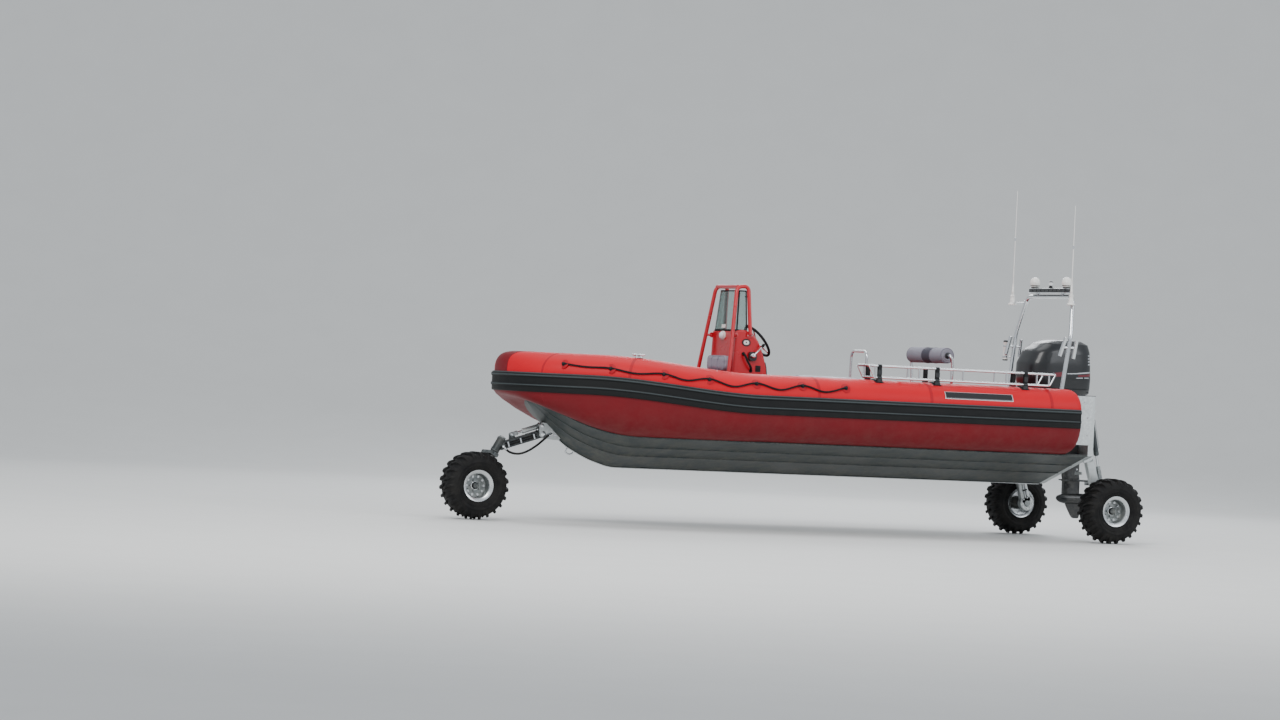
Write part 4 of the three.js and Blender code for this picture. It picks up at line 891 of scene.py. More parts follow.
# Deck with its tread mats
paint(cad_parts["deck"].data, "deck tread")
MATS = ((800, 1880, -330, 330), (1180, 1880, 352, 600), (1180, 1880, -600, -352),
        (1990, 3240, 500, 742), (1990, 3240, -742, -500), (3260, 4560, 500, 742),
        (3260, 4560, -742, -500), (3960, 4560, -480, 480), (2800, 3250, -470, 470),
        (5260, 5760, -470, 470))
for x0, x1, y0, y1 in MATS:
    prism(round_outline(x0, x1, y0, y1, 28, 4), "z", FLOOR, FLOOR + 4, "patch black")
    for k in range(1, int((x1 - x0) / 60)):
        x = x0 + 60 * k
        box((x - 22, x + 22), (y0 + 24, y1 - 24), (FLOOR + 3.5, FLOOR + 6), "deck tread")
piece("deck_mats", bevel=1.2, segments=1)


# Transom: the CAD solid with bolts, pin heads, drain plugs and a top capping
paint(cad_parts["transom"].data, "pale metal")
TRANSOM_TOP, ENGINE_SILL, TRANSOM_HALF = KEEL + 920, KEEL + 660, 968
for side in (-1, 1):
    for x, z in ((5930, KEEL + 520), (5930, KEEL + 700), (5990, KEEL + 860), (6040, KEEL + 520),
                 (6040, KEEL + 700)):
        bolt((x, side * TRANSOM_HALF, z), ACROSS * side, 8)
    for y in (480, 620, 900):
        for z in (KEEL + 480, KEEL + 860):
            bolt((HULL_END, side * y, z), AFT, 8)
    for y in (250, 560):
        plug = Vector((HULL_END, side * y, KEEL + 300))
        rod(plug - AFT, plug + AFT * 7, 24, "stainless", 24, 2)
        rod(plug + AFT * 6, plug + AFT * 16, 13, "black plastic", 18, 2)
    top = [(6055, side * 965, TRANSOM_TOP + 3), (6055, side * 402, TRANSOM_TOP + 3),
           (6055, side * 334, ENGINE_SILL + 3)]
    rings = [[Vector(p) + Vector((x, 0, z)) for x, z in ((0, -3), (70, -3), (68, 3), (2, 3))]
             for p in bent(top, 20, 4)]
    loft(rings, "black plastic")
    box((HULL_END, HULL_END + 5), (side * 690 - 70, side * 690 + 70), (KEEL + 120, KEEL + 150),
        "pale metal")
piece("transom_fittings")

# Console
CONSOLE_HALF = 280
CONSOLE_OUTLINE = ((2360, DECK + 0.3), (2760, DECK + 0.3), (2760, 960), (2748, 1050), (2724, 1136),
                   (2692, 1222), (2652, 1305), (2610, 1357), (2560, 1396), (2510, 1411), (2460, 1416),
                   (2396, 1400))
HELM, HELM_COLUMN = Vector((2765, 0, KEEL + 1312)), 80
HELM_TILT = radians(38)
HELM_AXIS = Vector((cos(HELM_TILT), 0, sin(HELM_TILT)))

prism([(x, KEEL + z) for x, z in CONSOLE_OUTLINE], "y", -CONSOLE_HALF, CONSOLE_HALF, "gelcoat red")
piece("console", bevel=20, segments=5, sharp=32)

rod(HELM - HELM_AXIS * 200, HELM - HELM_AXIS * (HELM_COLUMN + 4), 46, "black plastic", 32, 4, 34)
for along, radius in ((HELM_COLUMN + 18, 50), (HELM_COLUMN + 6, 40)):
    rod(HELM - HELM_AXIS * (along + 6), HELM - HELM_AXIS * along, radius, "black plastic", 32, 2)


def on_dash(x0, z0, x1, z1):
    """Place and directions on the dash between two outline points: middle, up the slope, outwards"""
    low, high = Vector((x0, 0, KEEL + z0)), Vector((x1, 0, KEEL + z1))
    up = (high - low).normalized()
    return (low + high) / 2, up, Vector((up.z, 0, -up.x)) * (1 if up.z > 0 else -1)


dash, _, dash_out = on_dash(2652, 1305, 2560, 1396)
plate(dash, dash_out, (500, 118), 3, "black plastic", 12)
plate(dash + dash_out * 3, dash_out, (212, 100), 9, "black plastic", 8)
plate(dash + dash_out * 11, dash_out, (190, 82), 2, "screen black", 5)
for y in (-198, -142, 142, 198):
    place = dash + ACROSS * y
    spin([(0, 2), (19, 2), (20, 6), (23, 8), (25, 6), (26, 2)], place, dash_out,
         ["screen black", "stainless", "stainless", "stainless", "stainless"], 28)
lower, lower_up, lower_out = on_dash(2760, 700, 2760, 940)
plate(lower + ACROSS * 150, lower_out, (170, 110), 3, "black plastic", 8)
for k in range(6):
    place = lower + ACROSS * (150 + (k % 3 - 1) * 50) + lower_up * (25 if k < 3 else -25) + lower_out * 3
    plate(place, lower_out, (24, 34), 6, "grip rubber", 3)
plate((2760, -60, KEEL + 640), lower_out, (300, 260), 5, "gelcoat red", 16)
rod((2764, 60, KEEL + 640), (2772, 60, KEEL + 640), 17, "stainless", 24, 2)
PORT_FACE = -CONSOLE_HALF - 0.3
GRAB_ENDS = ((2486, 1176), (2574, 1012))
GRAB_HANDLE = ((2492, -34, 1160), (2520, -42, 1102), (2556, -40, 1045))
(low_x, low_z), (high_x, high_z) = GRAB_ENDS
handle = [(low_x, PORT_FACE, KEEL + low_z)]
handle += [(x, PORT_FACE + out, KEEL + z) for x, out, z in GRAB_HANDLE]
handle += [(high_x, PORT_FACE, KEEL + high_z)]
pipe(curved(handle, 8), 11, "grip rubber", 14)
for x, z in GRAB_ENDS:
    rod((x, PORT_FACE + 2, KEEL + z), (x, PORT_FACE - 8, KEEL + z), 18, "grip rubber", 20, 2)
pipe([(x, 16 - CONSOLE_HALF, KEEL + z) for x, z in ((2757, 962), (2746, 1050), (2732, 1100))], 9,
     "grip rubber", 12)
plate((2652, PORT_FACE, KEEL + 1036), -ACROSS, (56, 64), 5, "black plastic", 8)
louvres((2652, PORT_FACE - 5, KEEL + 1035.5), -ACROSS, -0.35, (44, 7), 4, 13, "grip rubber")
plate((2530, CONSOLE_HALF + 0.3, KEEL + 700), ACROSS, (300, 380), 5, "gelcoat red", 22)
rod((2650, CONSOLE_HALF + 4, KEEL + 700), (2650, CONSOLE_HALF + 12, KEEL + 700), 17, "stainless", 24, 2)
piece("console_fittings")

# Hoop of tube over the console
HOOP_RADIUS = 19.5
HOOP_FOOT, HOOP_HEAD = Vector((2214, 375, FLOOR)), Vector((2400, 245, KEEL + 1838))
HOOP_BACK = Vector((2542, 302, KEEL + 1368)), Vector((2526, 245, KEEL + 1850))
for side in (-1, 1):
    foot_y, head_y = side * HOOP_FOOT.y, side * HOOP_HEAD.y
    route = [(HOOP_FOOT.x, foot_y, FLOOR), (2300, side * 360, KEEL + 1020),
             (HOOP_HEAD.x, head_y, HOOP_HEAD.z)]
    route += [(p.x, side * p.y, p.z) for p in HOOP_BACK[::-1]]
    pipe(bent(route, 80, 10), HOOP_RADIUS, "tube red", 20)
    stay_end = (2392, side * (CONSOLE_HALF + 1), KEEL + 1355)
    rod((2341, side * 313, KEEL + 1355), stay_end, 12, "tube red", 18)
    spin([(0, -4), (26, -4), (26, 4), (14, 6)], stay_end, ACROSS * side, "tube red", 24)
    tube_foot((HOOP_FOOT.x, foot_y, FLOOR), ((0, 0), (45, 0), (45, 8), (40, 11), (22, 14), (17, 24)), 34, 5,
         "tube red")
    outline = round_outline(2510, 2574, KEEL + 1342, KEEL + 1385, 10, 4)
    y0, y1 = sorted((side * (CONSOLE_HALF + 0.4), side * (CONSOLE_HALF + 14)))
    prism(outline, "y", y0, y1, "tube red")
    for x in (2520, 2565):
        bolt((x, side * (CONSOLE_HALF + 14), KEEL + 1360), ACROSS * side, 5)
head_bar = [Vector((HOOP_HEAD.x + 12, side * HOOP_HEAD.y, HOOP_HEAD.z)) for side in (-1, 1)]
pipe(head_bar, HOOP_RADIUS - 0.2, "tube red", 20)
piece("console_hoop")

# Windscreen: one bent sheet with a rubber edge


def screen_line(front, back, half, corner=30, steps=5):
    """Plan of the bent sheet from port aft round the front to starboard aft"""
    line = [(back, -half)]
    for cx, cy, first in ((front + corner, -half + corner, 270), (front + corner, half - corner, 180)):
        for k in range(steps + 1):
            angle = radians(first - 90 * k / steps)
            line.append((cx + corner * cos(angle), cy + corner * sin(angle)))
    return line + [(back, half)]


SCREEN_LOW, SCREEN_TOP = KEEL + 1406, KEEL + 1800
SCREEN_ENDS = ((2405, 2520, 258, SCREEN_LOW), (2432, 2515, 218, SCREEN_TOP))
rings = []
for front, back, half, z in SCREEN_ENDS:
    outer = screen_line(front, back, half)
    inner = screen_line(front + 6, back, half - 6, 24)
    rings.append([Vector((x, y, z)) for x, y in outer + inner[::-1]])
loft(rings, "clear acrylic")
piece("windscreen", sharp=30)

for (front, back, half, z), radius in zip(SCREEN_ENDS, (11, 7)):
    pipe([Vector((x, y, z)) for x, y in screen_line(front + 3, back, half - 3, 27)], radius,
         "grip rubber", 12)
for side in (-1, 1):
    (f0, b0, h0, z0), (f1, b1, h1, z1) = SCREEN_ENDS
    pipe([(b0, side * (h0 - 3), z0), (b1, side * (h1 - 3), z1)], 7, "grip rubber", 12)
    pipe([(f0 + 12, side * (h0 - 10), z0), (f1 + 12, side * (h1 - 10), z1)], 8, "grip rubber", 12)
    for share in (0.14, 0.86):
        z = lerp(z0, z1, share)
        tube = HOOP_BACK[0].lerp(HOOP_BACK[1], (z - HOOP_BACK[0].z) / (HOOP_BACK[1].z - HOOP_BACK[0].z))
        rod((lerp(b0, b1, share) - 12, side * (lerp(h0, h1, share) - 2), z),
            (tube.x - 4, side * (tube.y - 12), z), 7, "black plastic", 14, 1)
plate((2406.8, 40, KEEL + 1446), (-0.9976, 0, 0.0696), (82, 34), 3, "label white", 5)
piece("screen_rubber")

# Lamp, oval dial and throttle on the console
LAMP_FACE = 2360 + (1365 - DECK) * 36 / (1400 - DECK)
LAMP, LAMP_AXIS = Vector((LAMP_FACE - 1, 0, KEEL + 1354)), Vector((1, 0, 0.038))
spin([(0, -48), (12, -46.8), (24, -42), (33, -34), (37, -25), (37, -22), (42, -21), (44, -16), (44, 0),
      (43, 2)], LAMP, LAMP_AXIS, ["lamp lens"] * 4 + ["seam red"] + ["white plastic"] * 4, 40)
piece("console_lamp")

DIAL = Vector((2511, PORT_FACE, KEEL + 1290))
DIAL_RINGS = ((46, 36, -0.3), (46, 36, 7), (42, 32, 11), (35, 26, 10), (33, 24, 4))
loft([oval(DIAL - ACROSS * lift, AFT, UP, a, b, 44) for a, b, lift in DIAL_RINGS], "black plastic")
plate(DIAL + Vector((0, -3, 0)), -ACROSS, (62, 44), 3, "label white", 21)
spin([(0, 9), (5, 9), (8, 5.6)], DIAL, -ACROSS, "black plastic", 20)
piece("side_speaker")

prism(round_outline(2540, 2620, KEEL + 1110, KEEL + 1200, 24, 8), "y", PORT_FACE - 32, PORT_FACE,
      "black plastic")
spin([(0, 0), (26, 0), (26, 4), (22, 6), (22, 20), (17, 23), (0, 23)],
     (2580, PORT_FACE - 32, KEEL + 1160), -ACROSS, "stainless", 32)
lever = bent([(2580, PORT_FACE - 46, KEEL + 1160), (2626, PORT_FACE - 50, KEEL + 1211),
              (2680, PORT_FACE - 46, KEEL + 1271)], 20, 6)
pipe(lever, [9 - 3 * k / len(lever) for k in range(len(lever))], "stainless", 16)
grip = [Vector((2662, PORT_FACE - 46, KEEL + 1251)), Vector((2690, PORT_FACE - 46, KEEL + 1282))]
ahead = grip[1] - grip[0]
spin([(0, 0), (9, 1), (14, 8), (15, 22), (13, 36), (8, 42), (0, 43)], grip[0], ahead, "grip rubber", 24)
piece("throttle", bevel=2.5)

# Helm wheel, turned about its tilted shaft
RIM, GRIP = 176, 14
HELM_UP = square_to(UP, HELM_AXIS)
rings = []
for k, centre in enumerate(oval(HELM, HELM_UP, ACROSS, RIM, RIM, 72)):
    swell = GRIP * (0.94 if k % 6 == 0 else 1)
    rings.append(oval(centre, (centre - HELM).normalized(), HELM_AXIS, swell, swell, 14))
loft(rings, "grip rubber", closed=True)
SPOKE = ((0.1, 20, 5, 14), (0.35, 17, 4, 10), (0.75, 15, 4, 3),  # share of the way out, size, drop
         (0.98, 18, 5, 0))
for out in oval(Vector(), ACROSS, -HELM_UP, 1, 1, 3):
    across = out.cross(HELM_AXIS)
    loft([oval(HELM + out * (RIM * share) - HELM_AXIS * drop, across, HELM_AXIS, wide, thick, 12)
          for share, wide, thick, drop in SPOKE], "stainless")
spin([(0, -2), (24, -3), (36, -8), (40, -16), (44, -36), (20, -40), (14, -44), (14, 1 - HELM_COLUMN),
      (0, 1 - HELM_COLUMN)], HELM, HELM_AXIS, "black plastic", 36)
spin([(0, 1.5), (18, 1), (22, -2)], HELM, HELM_AXIS, "stainless", 32)
piece("helm_wheel", "helm")

# Bow cleat
CLEAT_X, CLEAT_Y, CLEAT_SEAT = 1120, -800, KEEL + 1072
spin([(0, -8), (47, -8), (47, 3), (41, 9), (0, 10)], (CLEAT_X, CLEAT_Y, CLEAT_SEAT), UP, "patch black",
     32)
for x in (-22, 22):
    rod((CLEAT_X + x, CLEAT_Y, CLEAT_SEAT), (CLEAT_X + x, CLEAT_Y, CLEAT_SEAT + 36), 13, "stainless", 18,
        0, 9)
horn = [(CLEAT_X + x, CLEAT_Y, CLEAT_SEAT + 37 + z)
        for x, z in ((-71, 5), (-62, 3), (-40, 0), (0, -1), (40, 0), (62, 3), (71, 5))]
pipe(horn, [4, 8, 10.5, 11.5, 10.5, 8, 4], "stainless", 16)
piece("bow_cleat")

# Soft goods

PUFF_FRAMES = 20
def settled(body):
    """The mesh of an object with its modifiers applied"""
    return bpy.data.meshes.new_from_object(body.evaluated_get(bpy.context.evaluated_depsgraph_get()))


def puffed(mesh, voxel, cap, held):
    """The mesh remeshed and blown up as cloth; no point moves past the cap, held points stay (metres)"""
    scene = bpy.context.scene
    body = placed("puff", mesh)
    even = body.modifiers.new("even", "REMESH")
    even.mode = "VOXEL"
    even.voxel_size = voxel
    start = settled(body)
    body.modifiers.clear()
    body.data = start
    group = body.vertex_groups.new(name="held")
    group.add([v.index for v in start.vertices if held(to_boat(v.co))], 1.0, "REPLACE")
    cloth = body.modifiers.new("cloth", "CLOTH")
    cloth.settings.vertex_group_mass = "held"
    cloth.settings.use_pressure = True
    cloth.settings.uniform_pressure_force = 4
    cloth.settings.effector_weights.gravity = 0
    cloth.collision_settings.use_collision = False
    cloth.point_cache.frame_end = PUFF_FRAMES
    for number in range(1, PUFF_FRAMES + 1):
        scene.frame_set(number)
    blown = settled(body)
    for vertex, before in zip(blown.vertices, start.vertices):
        move = vertex.co - before.co
        if move.length > 1e-6:
            vertex.co = before.co + move * (cap * tanh(move.length / cap) / move.length)
    scene.frame_set(1)
    bpy.data.objects.remove(body)
    blown.polygons.foreach_set("use_smooth", [True] * len(blown.polygons))
    return blown


def furrow(mesh, facing, axis, places, width, depth):
    """Presses sewn channels into the side of a mesh that looks a way (boat mm)"""
    facing = Vector(facing)
    for vertex in mesh.vertices:
        if vertex.normal.dot(facing) < 0.35:
            continue
        along = to_boat(vertex.co)[axis]
        near = min(abs(along - p) for p in places)
        if near < width:
            vertex.co -= facing * (depth / 1000 * (1 - (near / width) ** 2) ** 2)


def laid_on(mesh, points, sink):
    """Each point moved to the nearest place on a mesh, pressed in a little (boat mm)"""
    tree = BVHTree.FromPolygons([v.co for v in mesh.vertices], [list(p.vertices) for p in mesh.polygons])
    found = []
    for p in points:
        place, normal, _, _ = tree.find_nearest(to_frame(p))
        found.append(to_boat(place) - normal * sink)
    return found


def cord_round(points, radius, name):
    """Closed round cord through points"""
    line = [Vector(p) for p in points]
    rings = []
    for i, p in enumerate(line):
        ahead = (line[(i + 1) % len(line)] - line[i - 1]).normalized()
        middle = sum(line, Vector()) / len(line)
        out = square_to(p - middle, ahead)
        rings.append(oval(p, out, ahead.cross(out), radius, radius, 8))
    loft(rings, name, closed=True)


def soft_piece(name, mesh):
    """A padded piece with a finer surface"""
    made = show(name, mesh)
    finer = made.modifiers.new("finer", "SUBSURF")
    finer.levels = finer.render_levels = 1


def cushion(name, outline, low, high, crown, channels, voxel):
    """Seat cushion: flat underneath, crowned on top, with sewn channels and piping round both edges"""
    count = len(outline)
    middle = Vector((sum(p[0] for p in outline) / count, sum(p[1] for p in outline) / count))
    rings = []
    for z, inset in ((low, 9), (low + 8, 4), (low + 14, 3), (high - 24, 3), (high - 12, 7),
                     (high - 3, 18), (high + crown * 0.6, 70), (high + crown, 130)):
        ring = []
        for x, y in outline:
            away = Vector((x, y)) - middle
            away *= 1 - inset / away.length
            ring.append(Vector((middle.x + away.x, middle.y + away.y, z)))
        rings.append(ring)
    loft(rings, "cushion vinyl")
    mesh = puffed(mesh_of(name), voxel, 0.007, lambda p: p.z < low + 7)
    furrow(mesh, UP, 1, channels, 16, 7)
    paint(mesh, "cushion vinyl")
    soft_piece(name, mesh)
    for z in (low + 12, high - 12):
        edge = [(x, y, z) for x, y in outline]
        cord_round(laid_on(mesh, edge, -1.0), 4.2, "piping")
    first, last = min(p[0] for p in outline) + 26, max(p[0] for p in outline) - 26
    for y in channels:
        line = [(lerp(first, last, k / 24), y, high + 30) for k in range(25)]
        pipe(laid_on(mesh, line, 1.0), 2.4, "piping", 8)
    piece(name + "_piping")


# Front seat and helm seat: name, front, back, half width, corner and top of the box, then front,
# back, half width, corner, top, channels and cloth grain of the cushion
SEATS = (
    ("front_seat", 1930, 2356, 270, 40, 760, 1920, 2352, 265, 50, 850, (-130, 0, 130), 0.0095),
    ("helm_seat", 3320, 3840, 380, 50, 890, 3290, 3850, 400, 60, 1000, (-265, 0, 265), 0.012),
)
for name, x0, x1, half, corner, top, c0, c1, c_half, c_corner, c_top, channels, voxel in SEATS:
    prism(round_outline(x0, x1, -half, half, corner, 8), "z", FLOOR, KEEL + top, "gelcoat red")
    piece(name + "_box", bevel=9, segments=3)
    middle, high = (FLOOR + KEEL + top) / 2, KEEL + top - FLOOR
    for x, out in ((x0, -1), (x1, 1)):
        plate((x, 0, middle), AFT * out, (half * 1.2, high * 0.66), 6, "gelcoat red", 26)
        rod((x + out * 4, 0, middle + high * 0.24), (x + out * 13, 0, middle + high * 0.24), 20,
            "black plastic", 24, 2)
        for y in (-half * 0.38, half * 0.38):
            plate((x + out * 5, y, middle - high * 0.28), AFT * out, (52, 26), 3, "stainless", 5)
    vent_x, vent_z = (x0 + x1) / 2, middle + high * 0.2
    for side in (-1, 1):
        plate((vent_x, side * half, vent_z), ACROSS * side, (150, 66), 4, "black plastic", 12)
        louvres((vent_x, side * (half + 4), vent_z), ACROSS * side, 0.4, (126, 8), 4, 14, "grip rubber")
    base = round_outline(x0 - 9, x1 + 9, -half - 9, half + 9, corner + 9, 8)
    prism(base, "z", FLOOR - 1, FLOOR + 14, "pale metal")
    piece(name + "_fittings", bevel=1.5, segments=1)
    cushion(name + "_cushion", round_outline(c0, c1, -c_half, c_half, c_corner, 7), KEEL + top + 1,
            KEEL + c_top - 20, 8, channels, voxel)

# Pad on the console's front face, with two sewn channels
BACK_LOW, BACK_HIGH, BACK_FRONT, BACK_HALF = KEEL + 1000, KEEL + 1155, 2300, 208
rings = []
for x, inset in ((BACK_FRONT + 7, 24), (BACK_FRONT + 13, 10), (BACK_FRONT + 24, 4), (2360, 4), (2372, 6)):
    outline = round_outline(-BACK_HALF + inset, BACK_HALF - inset, BACK_LOW + inset, BACK_HIGH - inset,
                            46, 7)
    slope = 36 / (1400 - DECK)
    rings.append([Vector((x + slope * (z - BACK_LOW), y, z)) for y, z in outline])
loft(rings, "cushion vinyl")
mesh = puffed(mesh_of("console_back_pad"), 0.007, 0.006, lambda p: p.x > 2371)
furrow(mesh, -AFT, 1, (-70, 70), 14, 7)
paint(mesh, "cushion vinyl")
soft_piece("console_back_pad", mesh)
edge = [(BACK_FRONT + 16, y, z)
        for y, z in round_outline(6 - BACK_HALF, BACK_HALF - 6, BACK_LOW + 4, BACK_HIGH - 4, 36, 6)]
cord_round(laid_on(mesh, edge, -0.6), 3.4, "piping")
for y in (-70, 70):
    line = [(BACK_FRONT - 8, y, lerp(BACK_LOW + 16, BACK_HIGH - 16, k / 12)) for k in range(13)]
    pipe(laid_on(mesh, line, 0.6), 2.2, "piping", 8)
piece("console_back_pad_piping")

# Hoop behind the helm seat
SEAT_HOOP_HALF = 172
loop = [(3905, -SEAT_HOOP_HALF, KEEL + 860), (3915, -SEAT_HOOP_HALF, KEEL + 1265),
        (3915, SEAT_HOOP_HALF, KEEL + 1265), (3905, SEAT_HOOP_HALF, KEEL + 860)]
pipe(bent(loop, 70, 10), 14, "stainless", 20)
for y in (-SEAT_HOOP_HALF, SEAT_HOOP_HALF):
    box((3848, 3916), (y - 11, y + 11), (KEEL + 803, KEEL + 867), "stainless")
    plate((3840.4, y, KEEL + 835), AFT, (50, 100), 8, "stainless", 8)
    for dy in (-17, 17):
        for dz in (-40, 40):
            bolt((3848.4, y + dy, KEEL + 835 + dz), AFT, 4)
    rod((3904, y, KEEL + 852), (3905.5, y, KEEL + 905), 17, "stainless", 20, 3)
piece("seat_hoop", bevel=1.2)

# Stern locker over the drive engine: body, lid, hinges, latches, air louvres, exhaust
LOCKER_BACK, LOCKER_HALF, LOCKER_TOP = 5230, 460, KEEL + 900
for low, high, inset in ((FLOOR, LOCKER_TOP - 46, 0), (LOCKER_TOP - 48, LOCKER_TOP - 40, 7),
                         (LOCKER_TOP - 41, LOCKER_TOP, 0)):
    prism(round_outline(LOCKER_FRONT + inset, LOCKER_BACK - inset, -LOCKER_HALF + inset,
                        LOCKER_HALF - inset, 42, 8), "z", low, high, "gelcoat red")
piece("stern_locker", bevel=7, segments=3)
for y in (-290, 290):
    plate((LOCKER_FRONT, y, LOCKER_TOP - 45), -AFT, (46, 74), 5, "black plastic", 8)
    plate((LOCKER_FRONT - 4, y, LOCKER_TOP - 52), -AFT, (22, 48), 7, "stainless", 6)
    rod((LOCKER_BACK + 5, y - 34, LOCKER_TOP - 44), (LOCKER_BACK + 5, y + 34, LOCKER_TOP - 44), 6,
        "stainless", 14, 1)
    for z in (-66, -22):
        plate((LOCKER_BACK, y, LOCKER_TOP + z), AFT, (64, 34), 3, "stainless", 4)
for side in (-1, 1):
    louvres((5030, side * LOCKER_HALF, FLOOR + 210), ACROSS * side, 0.45, (230, 20), 7, 30,
            "black plastic", 5)
plate((LOCKER_FRONT, 0, FLOOR + 170), -AFT, (420, 200), 5, "gelcoat red", 22)
rod((LOCKER_BACK - 2, -250, FLOOR + 110), (LOCKER_BACK + 60, -250, FLOOR + 96), 26, "stainless", 24, 2)
spin([(20, 0), (20, 3), (0, 3)], (LOCKER_BACK + 60, -250, FLOOR + 96), (62, 0, -14), "grip rubber", 24)
prism(round_outline(LOCKER_FRONT - 9, LOCKER_BACK + 9, -LOCKER_HALF - 9, LOCKER_HALF + 9, 50, 8), "z",
      FLOOR - 1, FLOOR + 14, "pale metal")
piece("locker_fittings", bevel=1.5, segments=1)

# Bolster: padded roll with a dark band on its frame
BOLSTER_X, BOLSTER_Z, BOLSTER_HALF = 4722, KEEL + 1262, 385
BAND = (-131, 41)
CHANNELS = (-322, -258, -194, 106, 170, 234, 298)
cap = [(0, 12), (24, 10), (50, 9), (68, 13), (80, 26)]
profile = [(r, along - BOLSTER_HALF) for r, along in cap]
profile += [(80, y) for y in sorted(CHANNELS + BAND)]
profile += [(r, BOLSTER_HALF - along) for r, along in cap[::-1]]
spin(profile, (BOLSTER_X, 0, BOLSTER_Z), ACROSS, "bolster cloth", 48)


def bolster_held(p):
    return min(abs(p.y - y) for y in CHANNELS + BAND) < 7 or abs(p.y) > BOLSTER_HALF - 14


mesh = puffed(mesh_of("bolster"), 0.011, 0.009, bolster_held)
paint(mesh, "bolster cloth", "band cloth", place=lambda p: int(BAND[0] < p.y < BAND[1]))
soft_piece("bolster", mesh)
for y in BAND:
    spin([(77, -3), (82.5, -3), (83.5, 0), (82.5, 3), (77, 3)], (BOLSTER_X, y, BOLSTER_Z), ACROSS,
         "piping", 48)
for side in (-1, 1):
    for radius, inward, thick in ((76, 18, 4), (60, 13, 6), (44, 10, 6)):
        middle = Vector((BOLSTER_X, side * (BOLSTER_HALF - inward), BOLSTER_Z))
        cord_round(oval(middle, AFT, UP, radius, radius, 40), thick,
                   "bolster cloth" if thick > 4 else "piping")
    spin([(17, 0), (30, 0), (31, 3), (26, 6), (17, 7)], (BOLSTER_X, side * (BOLSTER_HALF - 8), BOLSTER_Z),
         ACROSS * side, "black plastic", 28)
piece("bolster_trim")

FRAME_FOOT, FRAME_HEAD = 400, 445
frame_line = [(4770, FRAME_FOOT, FLOOR), (4745, FRAME_HEAD, KEEL + 1200),
              (BOLSTER_X, FRAME_HEAD, BOLSTER_Z)]
frame_line = [(x, -y, z) for x, y, z in frame_line] + frame_line[::-1]
pipe(bent(frame_line, 55, 9), 16, "stainless", 20)
for y in (-FRAME_FOOT, FRAME_FOOT):
    tube_foot((4770, y, FLOOR), ((0, 0), (48, 0), (48, 6), (44, 9), (20, 11), (16, 22)), 36, 5, "stainless")
piece("bolster_frame")

# Side rack on the port tube
RACK_X, RACK_Y, RACK_TOP, RACK_LOW = (3480, 5590), (-1070, -820), KEEL + 1120, KEEL + 1006
SADDLES = (3603, 4246, 5245)
STRAP_SECTION = ((-19, -1.3), (19, -1.3), (19, 1.3), (-19, 1.3))
RACK_POSTS = [RACK_X[0] + 75 + 490 * k for k in range(5)]


def ring_rail(trim, z):
    """Rail round the rack at a height, shorter by trim at each end"""
    x0, x1 = RACK_X[0] + trim, RACK_X[1] - trim
    corners = [(x0 + 55, RACK_Y[0]), (x1, RACK_Y[0]), (x1, RACK_Y[1]), (x0, RACK_Y[1]), (x0, RACK_Y[0]),
               (x0 + 56, RACK_Y[0])]
    pipe(bent([(x, y, z) for x, y in corners], 36, 6), 12, "stainless", 16)


ring_rail(0, RACK_TOP)
ring_rail(60, RACK_LOW)
for x in RACK_POSTS:
    for y in RACK_Y:
        rod((x, y, RACK_LOW), (x, y, RACK_TOP), 9, "stainless", 16)
for k in range(9):
    x = RACK_X[0] + 180 + 219 * k
    rod((x, RACK_Y[0], RACK_LOW), (x, RACK_Y[1], RACK_LOW), 6, "stainless", 12)
for x in (RACK_X[0] + 4, RACK_X[1] - 4):
    inward = 60 if x < 4500 else -60
    for y in RACK_Y:
        pipe([(x, y, RACK_TOP), (x + inward, y, RACK_LOW)], 8, "stainless", 14)
piece("side_rack")


def collar_top(x, y):
    """Height of the port tube's top over a place aft of the bow's curve"""
    share = (abs(y) - COCKPIT_HALF) / (HALF_BEAM - COCKPIT_HALF)
    line = levels(2300)
    return line["high"] + (line["top"] - line["high"]) * sqrt(max(0.0, 1 - (2 * share - 1) ** 2))


for x in SADDLES:
    columns = [lerp(RACK_Y[0] - 22, RACK_Y[1] + 22, k / 16) for k in range(17)]
    for half, lift, name in ((46, 2.2, "patch black"), (27, 9, "webbing")):
        rings = []
        for y in columns:
            z = collar_top(x, y)
            rings.append([Vector((x - half, y, z + 0.4)), Vector((x + half, y, z + 0.4)),
                          Vector((x + half, y, z + lift)), Vector((x - half, y, z + lift))])
        loft(rings, name)
    for y in RACK_Y:
        box((x - 26, x + 26), (y - 17, y + 17), (collar_top(x, y) - 2, RACK_LOW - 11), "black plastic")
        sleeve((x, y, RACK_LOW), AFT, 12.4, 16, 24, "black plastic", 20)
        sleeve((x, y, RACK_TOP), AFT, 12.4, 15, 20, "webbing", 20)
        for lean in (-14.5, 14.5):
            strap = [(x, y + lean, RACK_TOP), (x, y + lean * 0.9, RACK_LOW)]
            loft([[Vector(p) + Vector((dx, dy, 0)) for dx, dy in STRAP_SECTION] for p in strap], "webbing")
    box((x - 20, x + 20), (RACK_Y[0] - 19, RACK_Y[0] - 14), (RACK_LOW + 30, RACK_LOW + 76),
        "black plastic")
piece("rack_straps")

# Blank plate on the port tube's shoulder
for inset, turn, proud, name in ((0, 0, 2.6, "pale metal"), (8, 1.2, 3.6, "screen black")):
    angles = [lerp(14 + turn, 36 - turn, k / 12) for k in range(13)]
    shoulder_band(around(("aft", 4288 + inset), ("aft", 5053 - inset), 16), -1, angles, proud, name)
piece("blank_plate")

